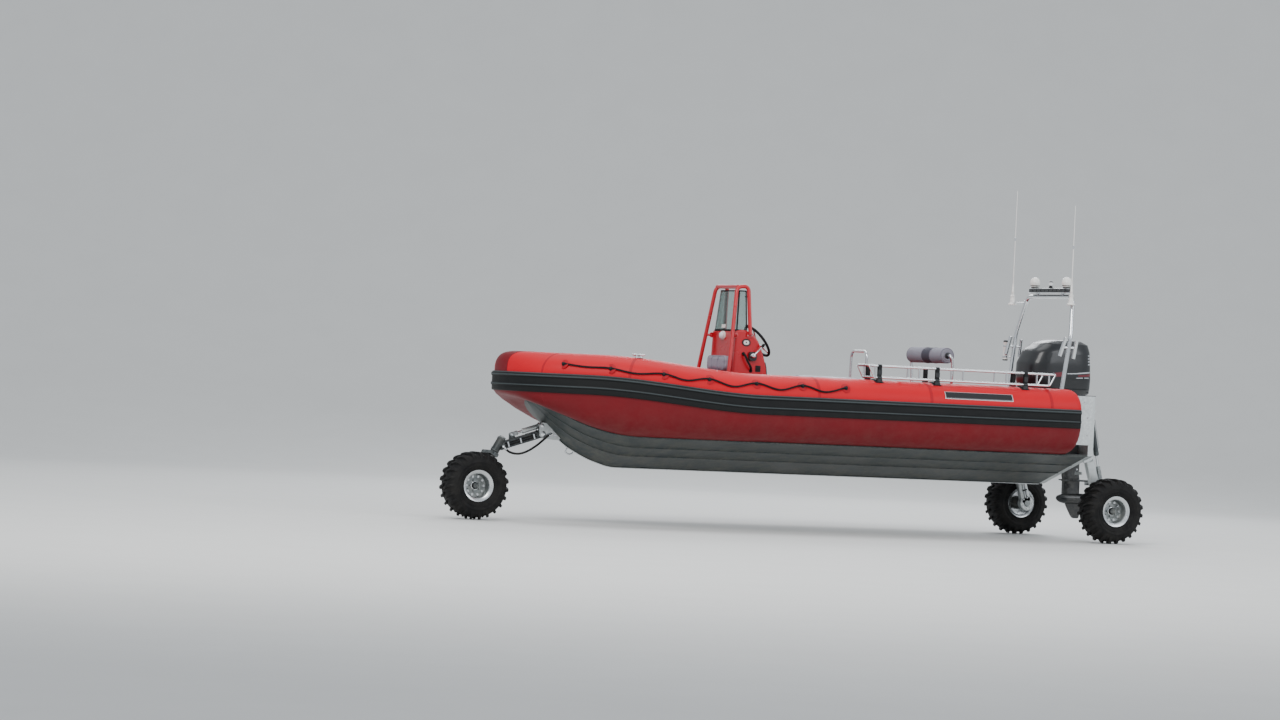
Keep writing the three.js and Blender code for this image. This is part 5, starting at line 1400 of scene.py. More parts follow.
# Stern arch
ARCH_FOOT, ARCH_BEND, ARCH_HEAD = (5895, 530, FLOOR), (6025, 573, KEEL + 1530), (6090, 462, KEEL + 1929)
ROD_LEG = (6003, 565)
ROD_TUBES = ((-91, 57, 1315, 1506), (68, 24, 1295, 1480))  # from the leg, lean, low and high end
arch_line = [ARCH_FOOT, ARCH_BEND, ARCH_HEAD]
arch_line = [(x, -y, z) for x, y, z in arch_line] + arch_line[::-1]
pipe(bent(arch_line, 80, 12), 22, "stainless", 24)
for side in (-1, 1):
    for shift, lean, low, high in ROD_TUBES:
        foot = Vector((ROD_LEG[0] + shift, side * (ROD_LEG[1] - 2), KEEL + low))
        ahead = Vector((lean, side * 12, high - low))
        reach = ahead.length
        spin([(0, 0), (19, 0), (20, 4), (20, reach - 9), (22, reach - 5), (21, reach), (18, reach),
              (17, reach - 11), (17, 20), (0, 20)], foot, ahead, "stainless", 28)
    tie_y, tie_z = side * (ROD_LEG[1] + 3), KEEL + 1405
    rod((ROD_LEG[0] - 66, tie_y, tie_z), (ROD_LEG[0] + 84, tie_y, tie_z), 12, "stainless", 18)
    tube_foot((ARCH_FOOT[0], side * ARCH_FOOT[1], FLOOR),
              ((0, 0), (50, 0), (50, 8), (46, 12), (27, 14), (22, 30)), 37, 6, "stainless")
piece("stern_arch")

# Tube in a clamp ahead of the starboard arch leg
TUBE_FOOT, TUBE_AXIS = Vector((5941, 628, KEEL + 1254)), Vector((0.01, 0, 1))
spin([(0, 0), (23, 0), (28, 4), (28, 14), (27, 16), (27, 190), (28, 192), (28, 202), (22, 211), (0, 212)],
     TUBE_FOOT, TUBE_AXIS, ["black plastic"] * 3 + ["white plastic"] * 3 + ["black plastic"] * 3, 32)
for rise in (40, 152):
    place = TUBE_FOOT + TUBE_AXIS * rise
    sleeve(place, TUBE_AXIS, 27.3, 30, 8, "stainless")
    leg_x = lerp(ARCH_FOOT[0], ARCH_BEND[0], (place.z - FLOOR) / (ARCH_BEND[2] - FLOOR))
    rod(place + Vector((24, -8, 0)), (leg_x - 12, 572, place.z), 6, "stainless", 12)
piece("rescue_light_tube")

# Light bar, domes, aerials and the all-round light
HEAD_X, HEAD_TOP, BAR_HALF, DOME_Y = 6090, KEEL + 1951, 389, 331
prism(round_outline(HEAD_X - 45, HEAD_X + 45, -BAR_HALF, BAR_HALF, 20, 6), "z", HEAD_TOP + 18,
      HEAD_TOP + 62, "black plastic")
for y in (-260, 260):
    prism(round_outline(HEAD_X - 18, HEAD_X + 18, y - 22, y + 22, 7, 3), "z", HEAD_TOP + 0.6,
          HEAD_TOP + 20, "stainless")
piece("light_bar", bevel=6, segments=3)
for out in (-1, 1):
    for k in range(9):
        place = Vector((HEAD_X + 45 * out, -336 + 84 * k, HEAD_TOP + 40))
        plate(place, AFT * out, (70, 24), 2, "screen black", 6)
for z in (HEAD_TOP + 20, HEAD_TOP + 60):
    outline = round_outline(HEAD_X - 48, HEAD_X + 48, -BAR_HALF - 3, BAR_HALF + 3, 22, 6)
    cord_round([(x, y, z) for x, y in outline], 3.2, "stainless")
for profile, name in (
        (((0, 62), (26, 62), (26, 72), (18, 76), (18, 92)), "black plastic"),
        (((17, 92), (22, 94), (22, 124), (17, 128), (0, 128)), "lamp lens"),
        (((0, 129), (23, 128), (23, 133), (14, 138), (0, 139)), "black plastic")):
    spin(profile, (HEAD_X, 0, HEAD_TOP), UP, name, 28)
piece("light_bar_fittings")
AERIAL_MOUNT = ((0, -70), (40, -70), (44, -67), (44, -60), (40, -56), (29, -46), (26, -36), (26, -8),
                (22, 0), (22, 22), (26, 24), (26, 30), (14, 36), (13, 60), (15, 64), (15, 76), (12, 80),
                (9, 150), (0, 151))
DOME = ((0, 0), (38, 0), (40, 2), (40, 11), (36, 14), (40, 19), (46, 28), (51, 40), (53, 54), (53, 66),
        (50, 80), (44, 94), (34, 105), (22, 112), (10, 115.4), (0, 116))
for name, side in SIDES:
    seat = (HEAD_X, side * DOME_Y, HEAD_TOP + 62.3)
    spin(DOME, seat, UP, ["black plastic"] * 4 + ["white plastic"] * 11, 40)
    spin([(43, 25), (48.5, 27), (50.2, 31), (47, 33)], seat, UP, "black plastic", 40)
    piece("dome_" + name)
for name, x, y, top in (("port", 6040, -520, KEEL + 2857), ("starboard", 6080, 780, KEEL + 3038)):
    base, side = HEAD_TOP - 40, 1 if y > 0 else -1
    root = Vector((HEAD_X - 11, side * (ARCH_HEAD[1] + 19), base - 50))
    rod(root, (x, y, base - 50), 10, "stainless", 16)
    leg = (ARCH_HEAD[0] - ARCH_BEND[0], side * (ARCH_HEAD[1] - ARCH_BEND[1]), ARCH_HEAD[2] - ARCH_BEND[2])
    sleeve(root, leg, 22, 28, 18, "stainless", 24)
    spin(AERIAL_MOUNT, (x, y, base), UP, "white plastic", 28)
    whip = [(x, y, base + 148 + (top - base - 148) * k / 12) for k in range(13)]
    pipe(whip, [6 - 3 * k / 12 for k in range(13)], "white plastic", 14)
    ferrule = lerp(base, top, 0.55)
    rod((x, y, ferrule - 18), (x, y, ferrule + 18), 7, "stainless", 14, 1)
    piece("aerial_" + name)

# Wheels: dished rims and mud tyres
REAR_WHEEL, REAR_Y = Vector((6345, 0, 330)), 980
FRONT_WHEEL = Vector((-205, 0, 330))
RIM_PROFILE = (  # radius, distance outwards
    (34, 4), (34, 18), (44, 20), (62, 20), (70, 17), (96, 16), (108, 18), (114, 24), (117, 36), (118, 60),
    (118, 92), (122, 104), (131, 110), (139, 113), (146, 114), (153, 117), (156, 120), (153.5, 123),
    (149, 122), (138, 118), (136, 117),
)
RIM_BACK = ((140, 110), (140, -110), (146, -114), (153, -116), (156, -119), (153, -122), (146, -120),
            (134, -115), (126, -106), (124, -80), (124, 4), (34, 4))
RIM_HOLES, HOLE_RADIUS, HOLE_CIRCLE = 10, 12, 91
WHEEL_NUTS, NUT_CIRCLE = 5, 53
VALVE_TURN = radians(200)
LUGS_A_SIDE, WALL_RIBS = 23, 60
RIB_SECTION = ((-2.2, -6), (-2, 0), (2, 0), (2.2, -6))
CARCASS = ((141.5, 110), (152, 113), (160, 120), (166, 128), (180, 136), (196, 141), (202, 144),
           (206, 141), (226, 144), (232, 147), (238, 144), (256, 141), (274, 133), (290, 119),
           (302, 98), (309, 60), (311, 0))
LUG_LINE = (  # across, foot radius, top radius, half width, turn in degrees
    (3, 300, 327, 10, 0), (22, 300, 329, 12, 1.3), (60, 298, 330, 13, 3.6), (96, 293, 327, 14, 5.7),
    (118, 280, 316, 15, 6.7), (132, 262, 293, 16, 7.2), (140, 244, 262, 15, 7.4),
)


def bored(mesh, holes):
    """The mesh with the holes cut out of it"""
    body, cutter = placed("bored", mesh), placed("cutter", holes)
    cut = body.modifiers.new("holes", "BOOLEAN")
    cut.operation = "DIFFERENCE"
    cut.solver = "EXACT"
    cut.object = cutter
    result = settled(body)
    for made in (body, cutter):
        bpy.data.objects.remove(made)
    result.set_sharp_from_angle(angle=radians(32))
    return result


def rim_piece(name, centre, side, body):
    """Dished rim with its holes, and its nuts, bore ring and valve as fittings"""
    out = ACROSS * side
    # The inner barrel and disc take the darker steel: painted shade inside the deep dish, while the lip
    # stays bright silver
    spin(RIM_PROFILE + RIM_BACK, centre, out, ["rough steel"] * 10 + ["rim silver"] * 22, 96)
    rim = mesh_of(name)
    for spot in oval(centre, AFT, UP, HOLE_CIRCLE, HOLE_CIRCLE, RIM_HOLES):
        rod(spot, spot + out * 30, HOLE_RADIUS, "rim silver")
    show(name, bored(rim, mesh_of("holes")), body)
    for spot in oval(centre + out * 20, AFT, UP, NUT_CIRCLE, NUT_CIRCLE, WHEEL_NUTS * 2)[1::2]:
        for length, radius, sides in ((4, 11, 20), (15, 8.5, 6), (21, 5, 14)):
            rod(spot, spot + out * length, radius, "rough steel", sides, 1)
    spin([(33.6, 18), (42, 20), (42, 26), (37, 28), (33.6, 26), (33.6, 18)], centre, out, "stainless")
    away = AFT * cos(VALVE_TURN) + UP * sin(VALVE_TURN)
    stem = centre + away * 104 + out * 50
    pipe([stem + away * 11 - out * 6, stem, stem - away * 6 + out * 26], [5, 4.5, 4], "black plastic", 12)
    piece(name + "_fittings", body)


def tyre_lug(centre, angle, side):
    """A chunky lug that runs from the crown over the shoulder"""
    rings = []
    for across, foot, top, half, turn in LUG_LINE:
        ring = []
        for share, radius in ((-1.12, foot), (-1, top - 5), (-0.8, top), (0.8, top), (1, top - 5),
                              (1.12, foot)):
            a = radians(angle + side * turn) + share * half / radius
            ring.append(centre + Vector((radius * cos(a), side * across, radius * sin(a))))
        rings.append(ring)
    loft(rings, "tyre rubber")


def tyre_piece(name, centre, body):
    """Carcass with lugs round the crown and ribs on both walls"""
    outline = list(CARCASS) + [(r, -y) for r, y in CARCASS[-2::-1]] + [CARCASS[0]]
    spin(outline, centre, ACROSS, "tyre rubber", 108)
    for k in range(LUGS_A_SIDE * 2):
        tyre_lug(centre, 180 * k / LUGS_A_SIDE, 1 if k % 2 else -1)
    for side in (-1, 1):
        for out in oval(Vector(), AFT, UP, 1, 1, WALL_RIBS):
            along = out.cross(ACROSS)
            loft([[centre + out * r + along * w + ACROSS * (side * (lift + y)) for w, y in RIB_SECTION]
                  for r, lift in ((168, 131), (182, 139), (194, 143))], "tyre rubber")
    piece(name, body, sharp=34)


for name, side in SIDES:
    centre = REAR_WHEEL + Vector((0, side * REAR_Y, 0))
    rim_piece("rear_rim_" + name, centre, side, "rear_wheel_" + name)
    tyre_piece("rear_tyre_" + name, centre, "rear_wheel_" + name)
rim_piece("front_rim", FRONT_WHEEL, -1, "front_wheel")
tyre_piece("front_tyre", FRONT_WHEEL, "front_wheel")

# Legs and rams


def at_y(place, y):
    """(x, z) of a side view at a distance across"""
    return Vector((place[0], y, place[1]))


def along_arm(start, end):
    """Direction from one pin to the other, and the direction square to it in the side view"""
    ahead = (end - start).normalized()
    return ahead, Vector((ahead.z, 0, -ahead.x))


def arm_beam(start, end, y, half, heights, name, corner=9):
    """Box beam with rounded corners between two pins, seen from the side"""
    start, end = at_y(start, y), at_y(end, y)
    _, up = along_arm(start, end)
    loft([[start.lerp(end, share) + ACROSS * a + up * b
           for a, b in round_outline(-half, half, -high / 2, high / 2, corner, 4)]
          for share, high in heights], name)


def pin_boss(place, y, half, radius, bore, name):
    """Ring round a pin, with a small chamfer"""
    spin([(bore, -half), (radius - 3, -half), (radius, -half + 3), (radius, half - 3), (radius - 3, half),
          (bore, half), (bore, -half)], at_y(place, y), ACROSS, name, 40)


def hub_motor(centre, side, inner, face, cap, name):
    """Round finned motor from inner to face, with the spigot out to cap (distances outwards)"""
    profile = [(0, inner), (66, inner), (70, inner + 4)]
    along = inner + 22
    while along < face - 26:
        profile += [(70, along), (66, along + 2), (66, along + 6), (70, along + 8)]
        along += 20
    profile += [(70, face - 6), (64, face), (33, face), (30, face + 1), (30, cap - 5), (26, cap),
                (0, cap)]
    spin(profile, centre, ACROSS * side, name, 56)


def ram_piece(name, top, low, y, bore, rod_radius, pin, low_pin, barrel_finish):
    """Hydraulic ram between two pins; distances along it are shares of its reach"""
    start, end = at_y(top, y), at_y(low, y)
    reach = (end - start).length
    ahead, up = along_arm(start, end)
    barrel = ((0, 0.04), (bore - 2, 0.04), (bore, 0.05), (bore, 0.58), (bore + 1.5, 0.585),
              (bore + 1.5, 0.625), (bore - 4, 0.635), (rod_radius + 3, 0.64), (rod_radius, 0.64),
              (rod_radius, 0.86), (0, 0.86))
    spin([(r, share * reach) for r, share in barrel], start, ahead,
         [barrel_finish] * 8 + ["stainless"] * 2, 36)
    pin_boss(top, y, 25, pin + 14, pin + 0.6, barrel_finish)
    clevis = ((rod_radius, 0.79), (19, 0.79), (22, 0.8), (22, 0.88), (18, 0.89), (0, 0.89))
    spin([(r, share * reach) for r, share in clevis], start, ahead, "rough steel", 28)
    neck = start.lerp(end, 0.84)
    for side in (-1, 1):
        mid = y + side * 16
        arm_beam((neck.x, neck.z), low, mid, 6, ((0, 2 * low_pin + 10), (0.8, 2 * low_pin + 14)),
                 "rough steel", 2)
        pin_boss(low, mid, 6, low_pin + 8, low_pin + 0.6, "rough steel")
    if up.x < 0:
        up = -up
    port, gland = start.lerp(end, 0.12), start.lerp(end, 0.55)
    for place in (port, gland):
        rod(place + up * (bore - 4), place + up * (bore + 10), 9, "stainless", 6)
    pipe([port + up * (bore + 8), port + up * (bore + 15) + ahead * 12,
          gland + up * (bore + 15) - ahead * 12, gland + up * (bore + 8)], 4.5, "stainless", 12)
    piece(name)


REAR_PIVOT, RAM_TOP, RAM_LOW, LEG_Y, LEG_HALF = (6182, 858), (6182, 1330), (6332, 628), 770, 34
WHEEL_AT = (REAR_WHEEL.x, REAR_WHEEL.z)
LEG_HEIGHTS = ((0.04, 84), (0.14, 90), (0.5, 92), (0.85, 104), (0.97, 118))
for name, side in SIDES:
    y = side * LEG_Y
    arm_beam(REAR_PIVOT, WHEEL_AT, y, LEG_HALF, LEG_HEIGHTS, "pale metal")
    pin_boss(REAR_PIVOT, y, LEG_HALF, 46, 18.6, "pale metal")
    spin([(0, -34), (72, -34), (78, -28), (78, 28), (72, 34), (0, 34)], at_y(WHEEL_AT, y), ACROSS,
         "pale metal", 56)
    hub_motor(at_y(WHEEL_AT, 0), side, LEG_Y + 30, REAR_Y + 3.7, REAR_Y + 52, "dark metal")
    lug = [(6262, 560), (6345, 590), (6356, 646), (6346, 657), (6332, 658), (6240, 690)]
    prism(lug, "y", y - 9, y + 9, "pale metal")
    rod(at_y(RAM_LOW, y - 30), at_y(RAM_LOW, y + 30), 12, "stainless", 24, 2)
    bolt_circle(at_y(WHEEL_AT, side * (LEG_Y - LEG_HALF)), ACROSS * -side, 58, 8, 8, 0)
    spin([(0, 34), (30, 34), (32, 37), (28, 42), (0, 43)], at_y(WHEEL_AT, y), ACROSS * -side,
         "rough steel", 32)
    start, end = at_y(REAR_PIVOT, 0), at_y(WHEEL_AT, 0)
    ahead, across = along_arm(start, end)
    face = side * (LEG_Y - LEG_HALF)
    for lean in (-16, 6):
        line = [start.lerp(end, t) + across * lean + Vector((0, face - side * 8, 0))
                for t in (0.16, 0.84)]
        last = end + across * lean * 1.6 - ahead * 62 + Vector((0, face - side * 9, 0))
        pipe(line + [last], 5.5, "stainless", 12)
        bolt(line[0] + Vector((0, side * 7, 0)), ACROSS * -side, 11)
    for t in (0.3, 0.52, 0.74):
        clip = start.lerp(end, t) - across * 5 + Vector((0, face, 0))
        plate(clip, ACROSS * -side, (46, 16), 15, "black plastic", 4, up=ahead)
    piece("rear_leg_" + name, sharp=36)
    ram_piece("rear_ram_" + name, RAM_TOP, RAM_LOW, y, 26, 13, 18, 12, "dark metal")

# Front leg
FRONT_PIVOT, STEER_HEAD, FRONT_RAM_TOP, FRONT_RAM_LOW = (474, 858), (15, 711), (462, 938), (158, 838)
KINGPIN = Vector((STEER_HEAD[0] - FRONT_WHEEL.x, 0, STEER_HEAD[1] - FRONT_WHEEL.z)).normalized()
ACROSS_PIN = Vector((KINGPIN.z, 0, -KINGPIN.x))
paint(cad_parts["front_bracket"].data, "pale metal")
arm_beam(FRONT_PIVOT, STEER_HEAD, 0, 34, ((0.03, 70), (0.2, 76), (0.8, 76), (0.93, 82)), "dark metal")
pin_boss(FRONT_PIVOT, 0, 34, 40, 18.6, "dark metal")
spin([(25.2, 388), (41, 388), (44, 391), (44, 402), (42, 404), (42, 524), (44, 526), (44, 537), (41, 540),
      (25.2, 540), (25.2, 388)], FRONT_WHEEL, KINGPIN, "dark metal", 44)
lug = [(136, 760), (214, 796), (180, 848), (168, 858), (158, 860), (138, 838)]
prism(lug, "y", -9, 9, "dark metal")
rod(at_y(FRONT_RAM_LOW, -30), at_y(FRONT_RAM_LOW, 30), 12, "stainless", 24, 2)
start, end = at_y(FRONT_PIVOT, 0), at_y(STEER_HEAD, 0)
ahead, down = along_arm(start, end)
for side in (-1, 1):
    for lean in (-13, 11):
        line = [start.lerp(end, t) - down * lean + Vector((0, side * 42, 0))
                for t in (0.14, 0.3, 0.6, 0.84)]
        pipe(curved(line, 4), 7, "rope black", 12)
    for t in (0.2, 0.5, 0.78):
        clip = start.lerp(end, t) + Vector((0, side * 34, 0))
        plate(clip, ACROSS * side, (50, 14), 17, "stainless", 3, up=ahead)


def on_fork(along, aside, y):
    """Point of the fork: along the kingpin, square to it and across, from the wheel's middle"""
    return FRONT_WHEEL + KINGPIN * along + ACROSS_PIN * aside + Vector((0, y, 0))


for distance in (410, 518):
    rod(on_fork(distance, -44, 0), on_fork(distance, -51, 0), 5, "stainless", 6)
piece("front_arm", sharp=36)
ram_piece("front_ram", FRONT_RAM_TOP, FRONT_RAM_LOW, 0, 24, 12, 12, 12, "pale metal")
for place in ((560, 870), (600, 905), (600, 850), (645, 880)):
    for side in (-1, 1):
        bolt(at_y(place, side * 56), ACROSS * side, 8)
for place, radius in ((FRONT_PIVOT, 26), (FRONT_RAM_TOP, 18)):
    for side in (-1, 1):
        spin([(0, 56), (radius, 56), (radius, 60), (radius - 3, 62), (0, 62)], at_y(place, 0),
             ACROSS * side, "stainless", 28)
piece("front_bracket_fittings")


def fork_slab(half, y0, y1, low, high, corner):
    """Plate of the fork, square to the wheel's axle, along the kingpin"""
    outline = round_outline(low, high, -half, half, corner, 4)
    loft([[on_fork(a, b, y) for a, b in outline] for y in (y0, y1)], "dark metal")


fork_slab(44, -44, 204, 346, 382, 6)
fork_slab(44, 176, 204, -30, 382, 14)
spin([(0, 370), (24, 370), (24, 541), (31, 541), (34, 544), (34, 553), (31, 556), (14, 556), (12, 560),
      (0, 560)], FRONT_WHEEL, KINGPIN, ["dark metal"] * 3 + ["rough steel"] * 6, 36)
spin([(0, 176), (74, 176), (78, 180), (78, 208), (72, 214), (30, 214), (28, 219), (0, 220)], FRONT_WHEEL,
     ACROSS, "dark metal", 56)
hub_motor(FRONT_WHEEL, -1, -182, 3.7 - 8, 52, "dark metal")
bolt_circle(FRONT_WHEEL + ACROSS * 214, ACROSS, 56, 8, 7)
for b in (-34, 34):
    corner = [(346, 178), (300, 178), (346, 120)]
    loft([[on_fork(a, b + w, y) for a, y in corner] for w in (-5, 5)], "dark metal")
for lean in (-14, 14):
    pipe([on_fork(a, lean, 211) for a in (330, 90)], 6, "rope black", 12)
for a in (120, 210, 300):
    plate(on_fork(a, 0, 204), ACROSS, (48, 14), 15, "stainless", 3, up=KINGPIN)
piece("front_fork", "front_steering", sharp=36)

# Hose in a loop under the arm
HOSE_ROUTE = ((556, -67.5, 856), (520, -72, 842), (470, -76, 800), (400, -76, 742), (320, -74, 690),
              (245, -72, 660), (180, -70, 655), (125, -66, 668), (92, -60, 690), (72, -54, 712))
HOSE_RADIUS = 11
route = [to_frame(p) for p in curved(HOSE_ROUTE, 8)]
curve = bpy.data.curves.new("front_hose", "CURVE")
curve.dimensions = "3D"
curve.bevel_depth = HOSE_RADIUS / 1000
curve.bevel_resolution = 4
curve.use_fill_caps = True
spline = curve.splines.new("POLY")
spline.points.add(len(route) - 1)
for point, place in zip(spline.points, route):
    point.co = (*place, 1)
curve.materials.append(finish("rope black"))
hose = show("front_hose", curve)
for near, following in ((0, 1), (-1, -2)):
    a, b = Vector(HOSE_ROUTE[near]), Vector(HOSE_ROUTE[following])
    ahead = (b - a).normalized()
    spin([(11.2, 2), (14, 2), (14, 30), (11.2, 32), (11.2, 2)], a, ahead, "stainless", 28)
    rod(a - ahead * 10, a + ahead * 1, 13, "stainless", 6)
rod((560, -56.3, 858), (560, -70, 858), 12, "stainless", 6)
rod((58, -36, 720), (58, -58, 720), 12, "stainless", 6)
piece("hose_fittings")

# Outboard: clamp, swivel, cowl, leg, propeller
TILT, STEER_X, PROP_Z = (6178, 1245), 6245, 418
CHEEK = ((6120.3, 960), (6150, 950), (6204, 1180), (6222, 1245), (6214, 1272), (6198, 1287),
         (6148, 1285), (6090, 1275), (6030, 1247), (6030, 1150), (6059.7, 1150),
         (6059.7, ENGINE_SILL + 0.3), (6120.3, ENGINE_SILL + 0.3))
for side in (-1, 1):
    y0, y1 = sorted((side * 108, side * 146))
    prism(CHEEK, "y", y0, y1, "motor black")
    for z in (1000, 1060, 1120):
        bolt((6126 + (z - 1000) * 0.28, side * 127, z), (1, 0, -0.2), 9)
    spin([(0, 146), (24, 146), (24, 152), (17, 154), (17, 163), (14, 166), (0, 166)], at_y(TILT, 0),
         ACROSS * side, "stainless", 28)
    rod((6032, side * 127, 1186), (6006, side * 127, 1186), 10, "stainless", 20, 1)
    pipe([(6006, side * 127 - 34, 1186), (6006, side * 127 + 34, 1186)], 6, "stainless", 12)
rod(at_y(TILT, -146), at_y(TILT, 146), 17, "stainless", 28)
piece("outboard_clamp", bevel=4, segments=2)

pin_boss(TILT, 0, 100, 36, 17.8, "motor black")
spin([(20.8, 985), (34, 985), (38, 990), (38, 1263), (34, 1268), (20.8, 1268), (20.8, 985)],
     (STEER_X, 0, 0), UP, "motor black", 36)
web = [(6206, 1262), (6213, 1240), (6205, 1215), (6210, 1110), (6215, 1000), (6222, 1000), (6224, 1262)]
prism(web, "y", -30, 30, "motor black")
for z in (1030, 1120, 1210):
    spin([(38, -5), (40, -5), (41, 0), (40, 5), (38, 5)], (STEER_X, 0, z), UP, "motor black", 36)
for y in (-70, 70):
    spin([(36, -6), (39, -6), (39, 6), (36, 6)], at_y(TILT, y), ACROSS, "motor black", 36)
piece("outboard_swivel", "outboard_tilt", sharp=34)


def level_ring(z, x0, x1, half, square, count=48, grow=0.0):
    """Plan section at a height: a rounded box between x0 and x1, more square the higher the number"""
    ring = []
    for a in circle(count):
        x = power(cos(a), square) * ((x1 - x0) / 2 + grow)
        y = power(sin(a), square) * (half + grow)
        ring.append(Vector(((x0 + x1) / 2 + x, y, z)))
    return ring


# Rows of cowl, leg and strut: height, front, back, half width, squareness
COWL = ((1492, 5880, 6530, 205, 3.4), (1540, 5815, 6538, 238, 3.6), (1650, 5790, 6536, 252, 3.8),
        (1800, 5798, 6526, 250, 3.8), (1930, 5860, 6518, 240, 3.6), (2005, 5950, 6502, 214, 3.2),
        (2040, 6040, 6440, 160, 2.8))


def cowl_row(z):
    """Front, back, half width and squareness of the cowl at a height"""
    for low, high in zip(COWL, COWL[1:]):
        if z <= high[0]:
            t = (z - low[0]) / (high[0] - low[0])
            return [lerp(a, b, t) for a, b in zip(low[1:], high[1:])]
    return list(COWL[-1][1:])


def cowl_side(x, z, side, proud):
    """Point on the cowl's side at x and height z"""
    x0, x1, half, square = cowl_row(z)
    share = min(0.999, abs((x - (x0 + x1) / 2) / ((x1 - x0) / 2)))
    return Vector((x, side * (half * (1 - share ** square) ** (1 / square) + proud), z))


rings = []
COWL_GROOVE = (1546, 1549)
for z in (1492, 1500, 1520, 1540, 1543, *COWL_GROOVE, 1552, *range(1570, 2001, 22), 2005, 2018, 2030, 2040):
    rings.append(level_ring(z, *cowl_row(z), 72, -3.5 if z in COWL_GROOVE else 0))
rings.append(level_ring(2046, 6090, 6390, 120, 2.6, 72))
loft(rings, "cowl black")
piece("outboard_cowl", "outboard", sharp=30)

STRIPES = (  # finish, then x with the height of the lower and the upper edge, from front to back
    ("stripe maroon", (6040, 1664, 1706), (6090, 1668, 1714), (6150, 1672, 1722)),
    ("stripe silver", (6190, 1698, 1707), (6300, 1703, 1714), (6506, 1720, 1736)),
    ("stripe maroon", (6320, 1676, 1694), (6400, 1680, 1700), (6506, 1688, 1714)),
    ("stripe silver", (6295, 1658, 1664), (6340, 1660, 1668), (6380, 1661, 1670)),
    ("stripe silver", (6400, 1662, 1671), (6430, 1663, 1672), (6464, 1664, 1673)),
) + tuple(("stripe silver", (6448, z, z + 13), (6474, z + 1, z + 14), (6498, z + 2, z + 15))
          for z in (1800, 1830, 1860, 1890))
for side in (-1, 1):
    for name, *stations in STRIPES:
        rings = []
        for (xa, la, ha), (xb, lb, hb) in zip(stations, stations[1:]):
            for k in range(9):
                t = k / 8
                x, low, high = lerp(xa, xb, t), lerp(la, lb, t), lerp(ha, hb, t)
                levels_here = [lerp(low, high, j / 4) for j in range(5)]
                rings.append([cowl_side(x, z, side, 1.2) for z in levels_here]
                             + [cowl_side(x, z, side, 0.2) for z in reversed(levels_here)])
        loft(rings, name)
for x in (6120, 6300, 6460):
    for side in (-1, 1):
        plate(cowl_side(x, 1518, side, 0), ACROSS * side, (54, 20), 3, "black plastic", 4)
for k in range(5):
    z = 1900 + 16 * k
    x1 = cowl_row(z)[1]
    plate((x1 - 1, 0, z), (1, 0, 0.3), (250 - 8 * k, 8), 4, "black plastic", 3)
plate((6534, 0, 1600), AFT, (150, 46), 5, "black plastic", 12)
piece("cowl_stripes", "outboard", merge=0.001)

LEG = ((640, 6322, 6530, 34, 2.2), (700, 6320, 6527, 37, 2.3), (760, 6318, 6525, 40, 2.4),
       (870, 6315, 6522, 52, 2.5), (980, 6312, 6520, 66, 2.6), (1080, 6306, 6525, 79, 2.7),
       (1180, 6300, 6530, 92, 2.8), (1240, 6296, 6532, 105, 2.9), (1300, 6290, 6535, 120, 3),
       (1350, 6200, 6532, 141, 3.1), (1400, 6080, 6530, 165, 3.2), (1445, 6024, 6524, 175, 3.3),
       (1491.5, 5965, 6518, 185, 3.4))
STRUT = ((PROP_Z, 6330, 6540, 26, 2.2), (520, 6330, 6540, 28, 2.2), (608, 6330, 6540, 30, 2.2),
         (645, 6324, 6530, 34, 2.2))
for rows in (LEG, STRUT):
    loft([level_ring(*row) for row in rows], "motor black")
half_plate = [(6300, 22), (6350, 60), (6430, 88), (6520, 105), (6640, 103), (6700, 90)]
plate_outline = [(6290, 0)] + [(x, -y) for x, y in half_plate] + half_plate[::-1]
for low, high, shrink in ((602, 614, 1), (596, 602, 0.86)):
    loft([[Vector((6495 + (x - 6495) * shrink, y * shrink, z)) for x, y in plate_outline]
          for z in (low, high)], "motor black")
spin([(0, 0), (14, 4), (26, 14), (38, 32), (47, 58), (53, 86), (56, 118), (56, 282), (53, 312), (48, 342),
      (0, 342)], (6270, 0, PROP_Z), AFT, "motor black", 44)
skeg = [(6370, 378), (6400, 320), (6440, 250), (6466, 218), (6480, 213), (6528, 213), (6542, 222),
        (6590, 378)]
loft([[Vector((6480 + (x - 6480) * shrink, y, z)) for x, z in skeg]
      for y, shrink in ((-2, 0.93), (-8, 1), (8, 1), (2, 0.93))], "motor black")
for low, high in ((1287, 1340), (930, 979)):
    prism(round_outline(6200, 6360, -56, 56, 40, 8), "z", low, high, "motor black")
rod((STEER_X, 0, 940), (STEER_X, 0, 1320), 20, "stainless", 28)
rod((STEER_X, 0, 1319), (STEER_X, 0, 1338), 28, "stainless", 6)
for side in (-1, 1):
    for k in range(5):
        plate((6356 + 15 * k, side * (29 + 2.4 * sin(k)), 548), ACROSS * side, (7, 46), 4,
              "black plastic", 2, up=Vector((0.2, 0, 1)))
    for x, z, y in ((6350, 720, 36), (6480, 720, 37), (6345, 1020, 64), (6490, 1020, 66),
                    (6330, 1250, 98), (6500, 1250, 102)):
        bolt((x, side * y, z), ACROSS * side, 8)
    plate((6420, side * 146, 1420), (0, side, -0.25), (180, 36), 8, "black plastic", 10)
box((6600, 6670), (-5, 5), (560, 602), "rough steel")
spin([(0, -8), (24, -8), (24, 9), (18, 12), (0, 12)], (6532, 0, 1250), (1, 0, -0.05), "black plastic", 24)
piece("outboard_leg", "outboard", sharp=32)

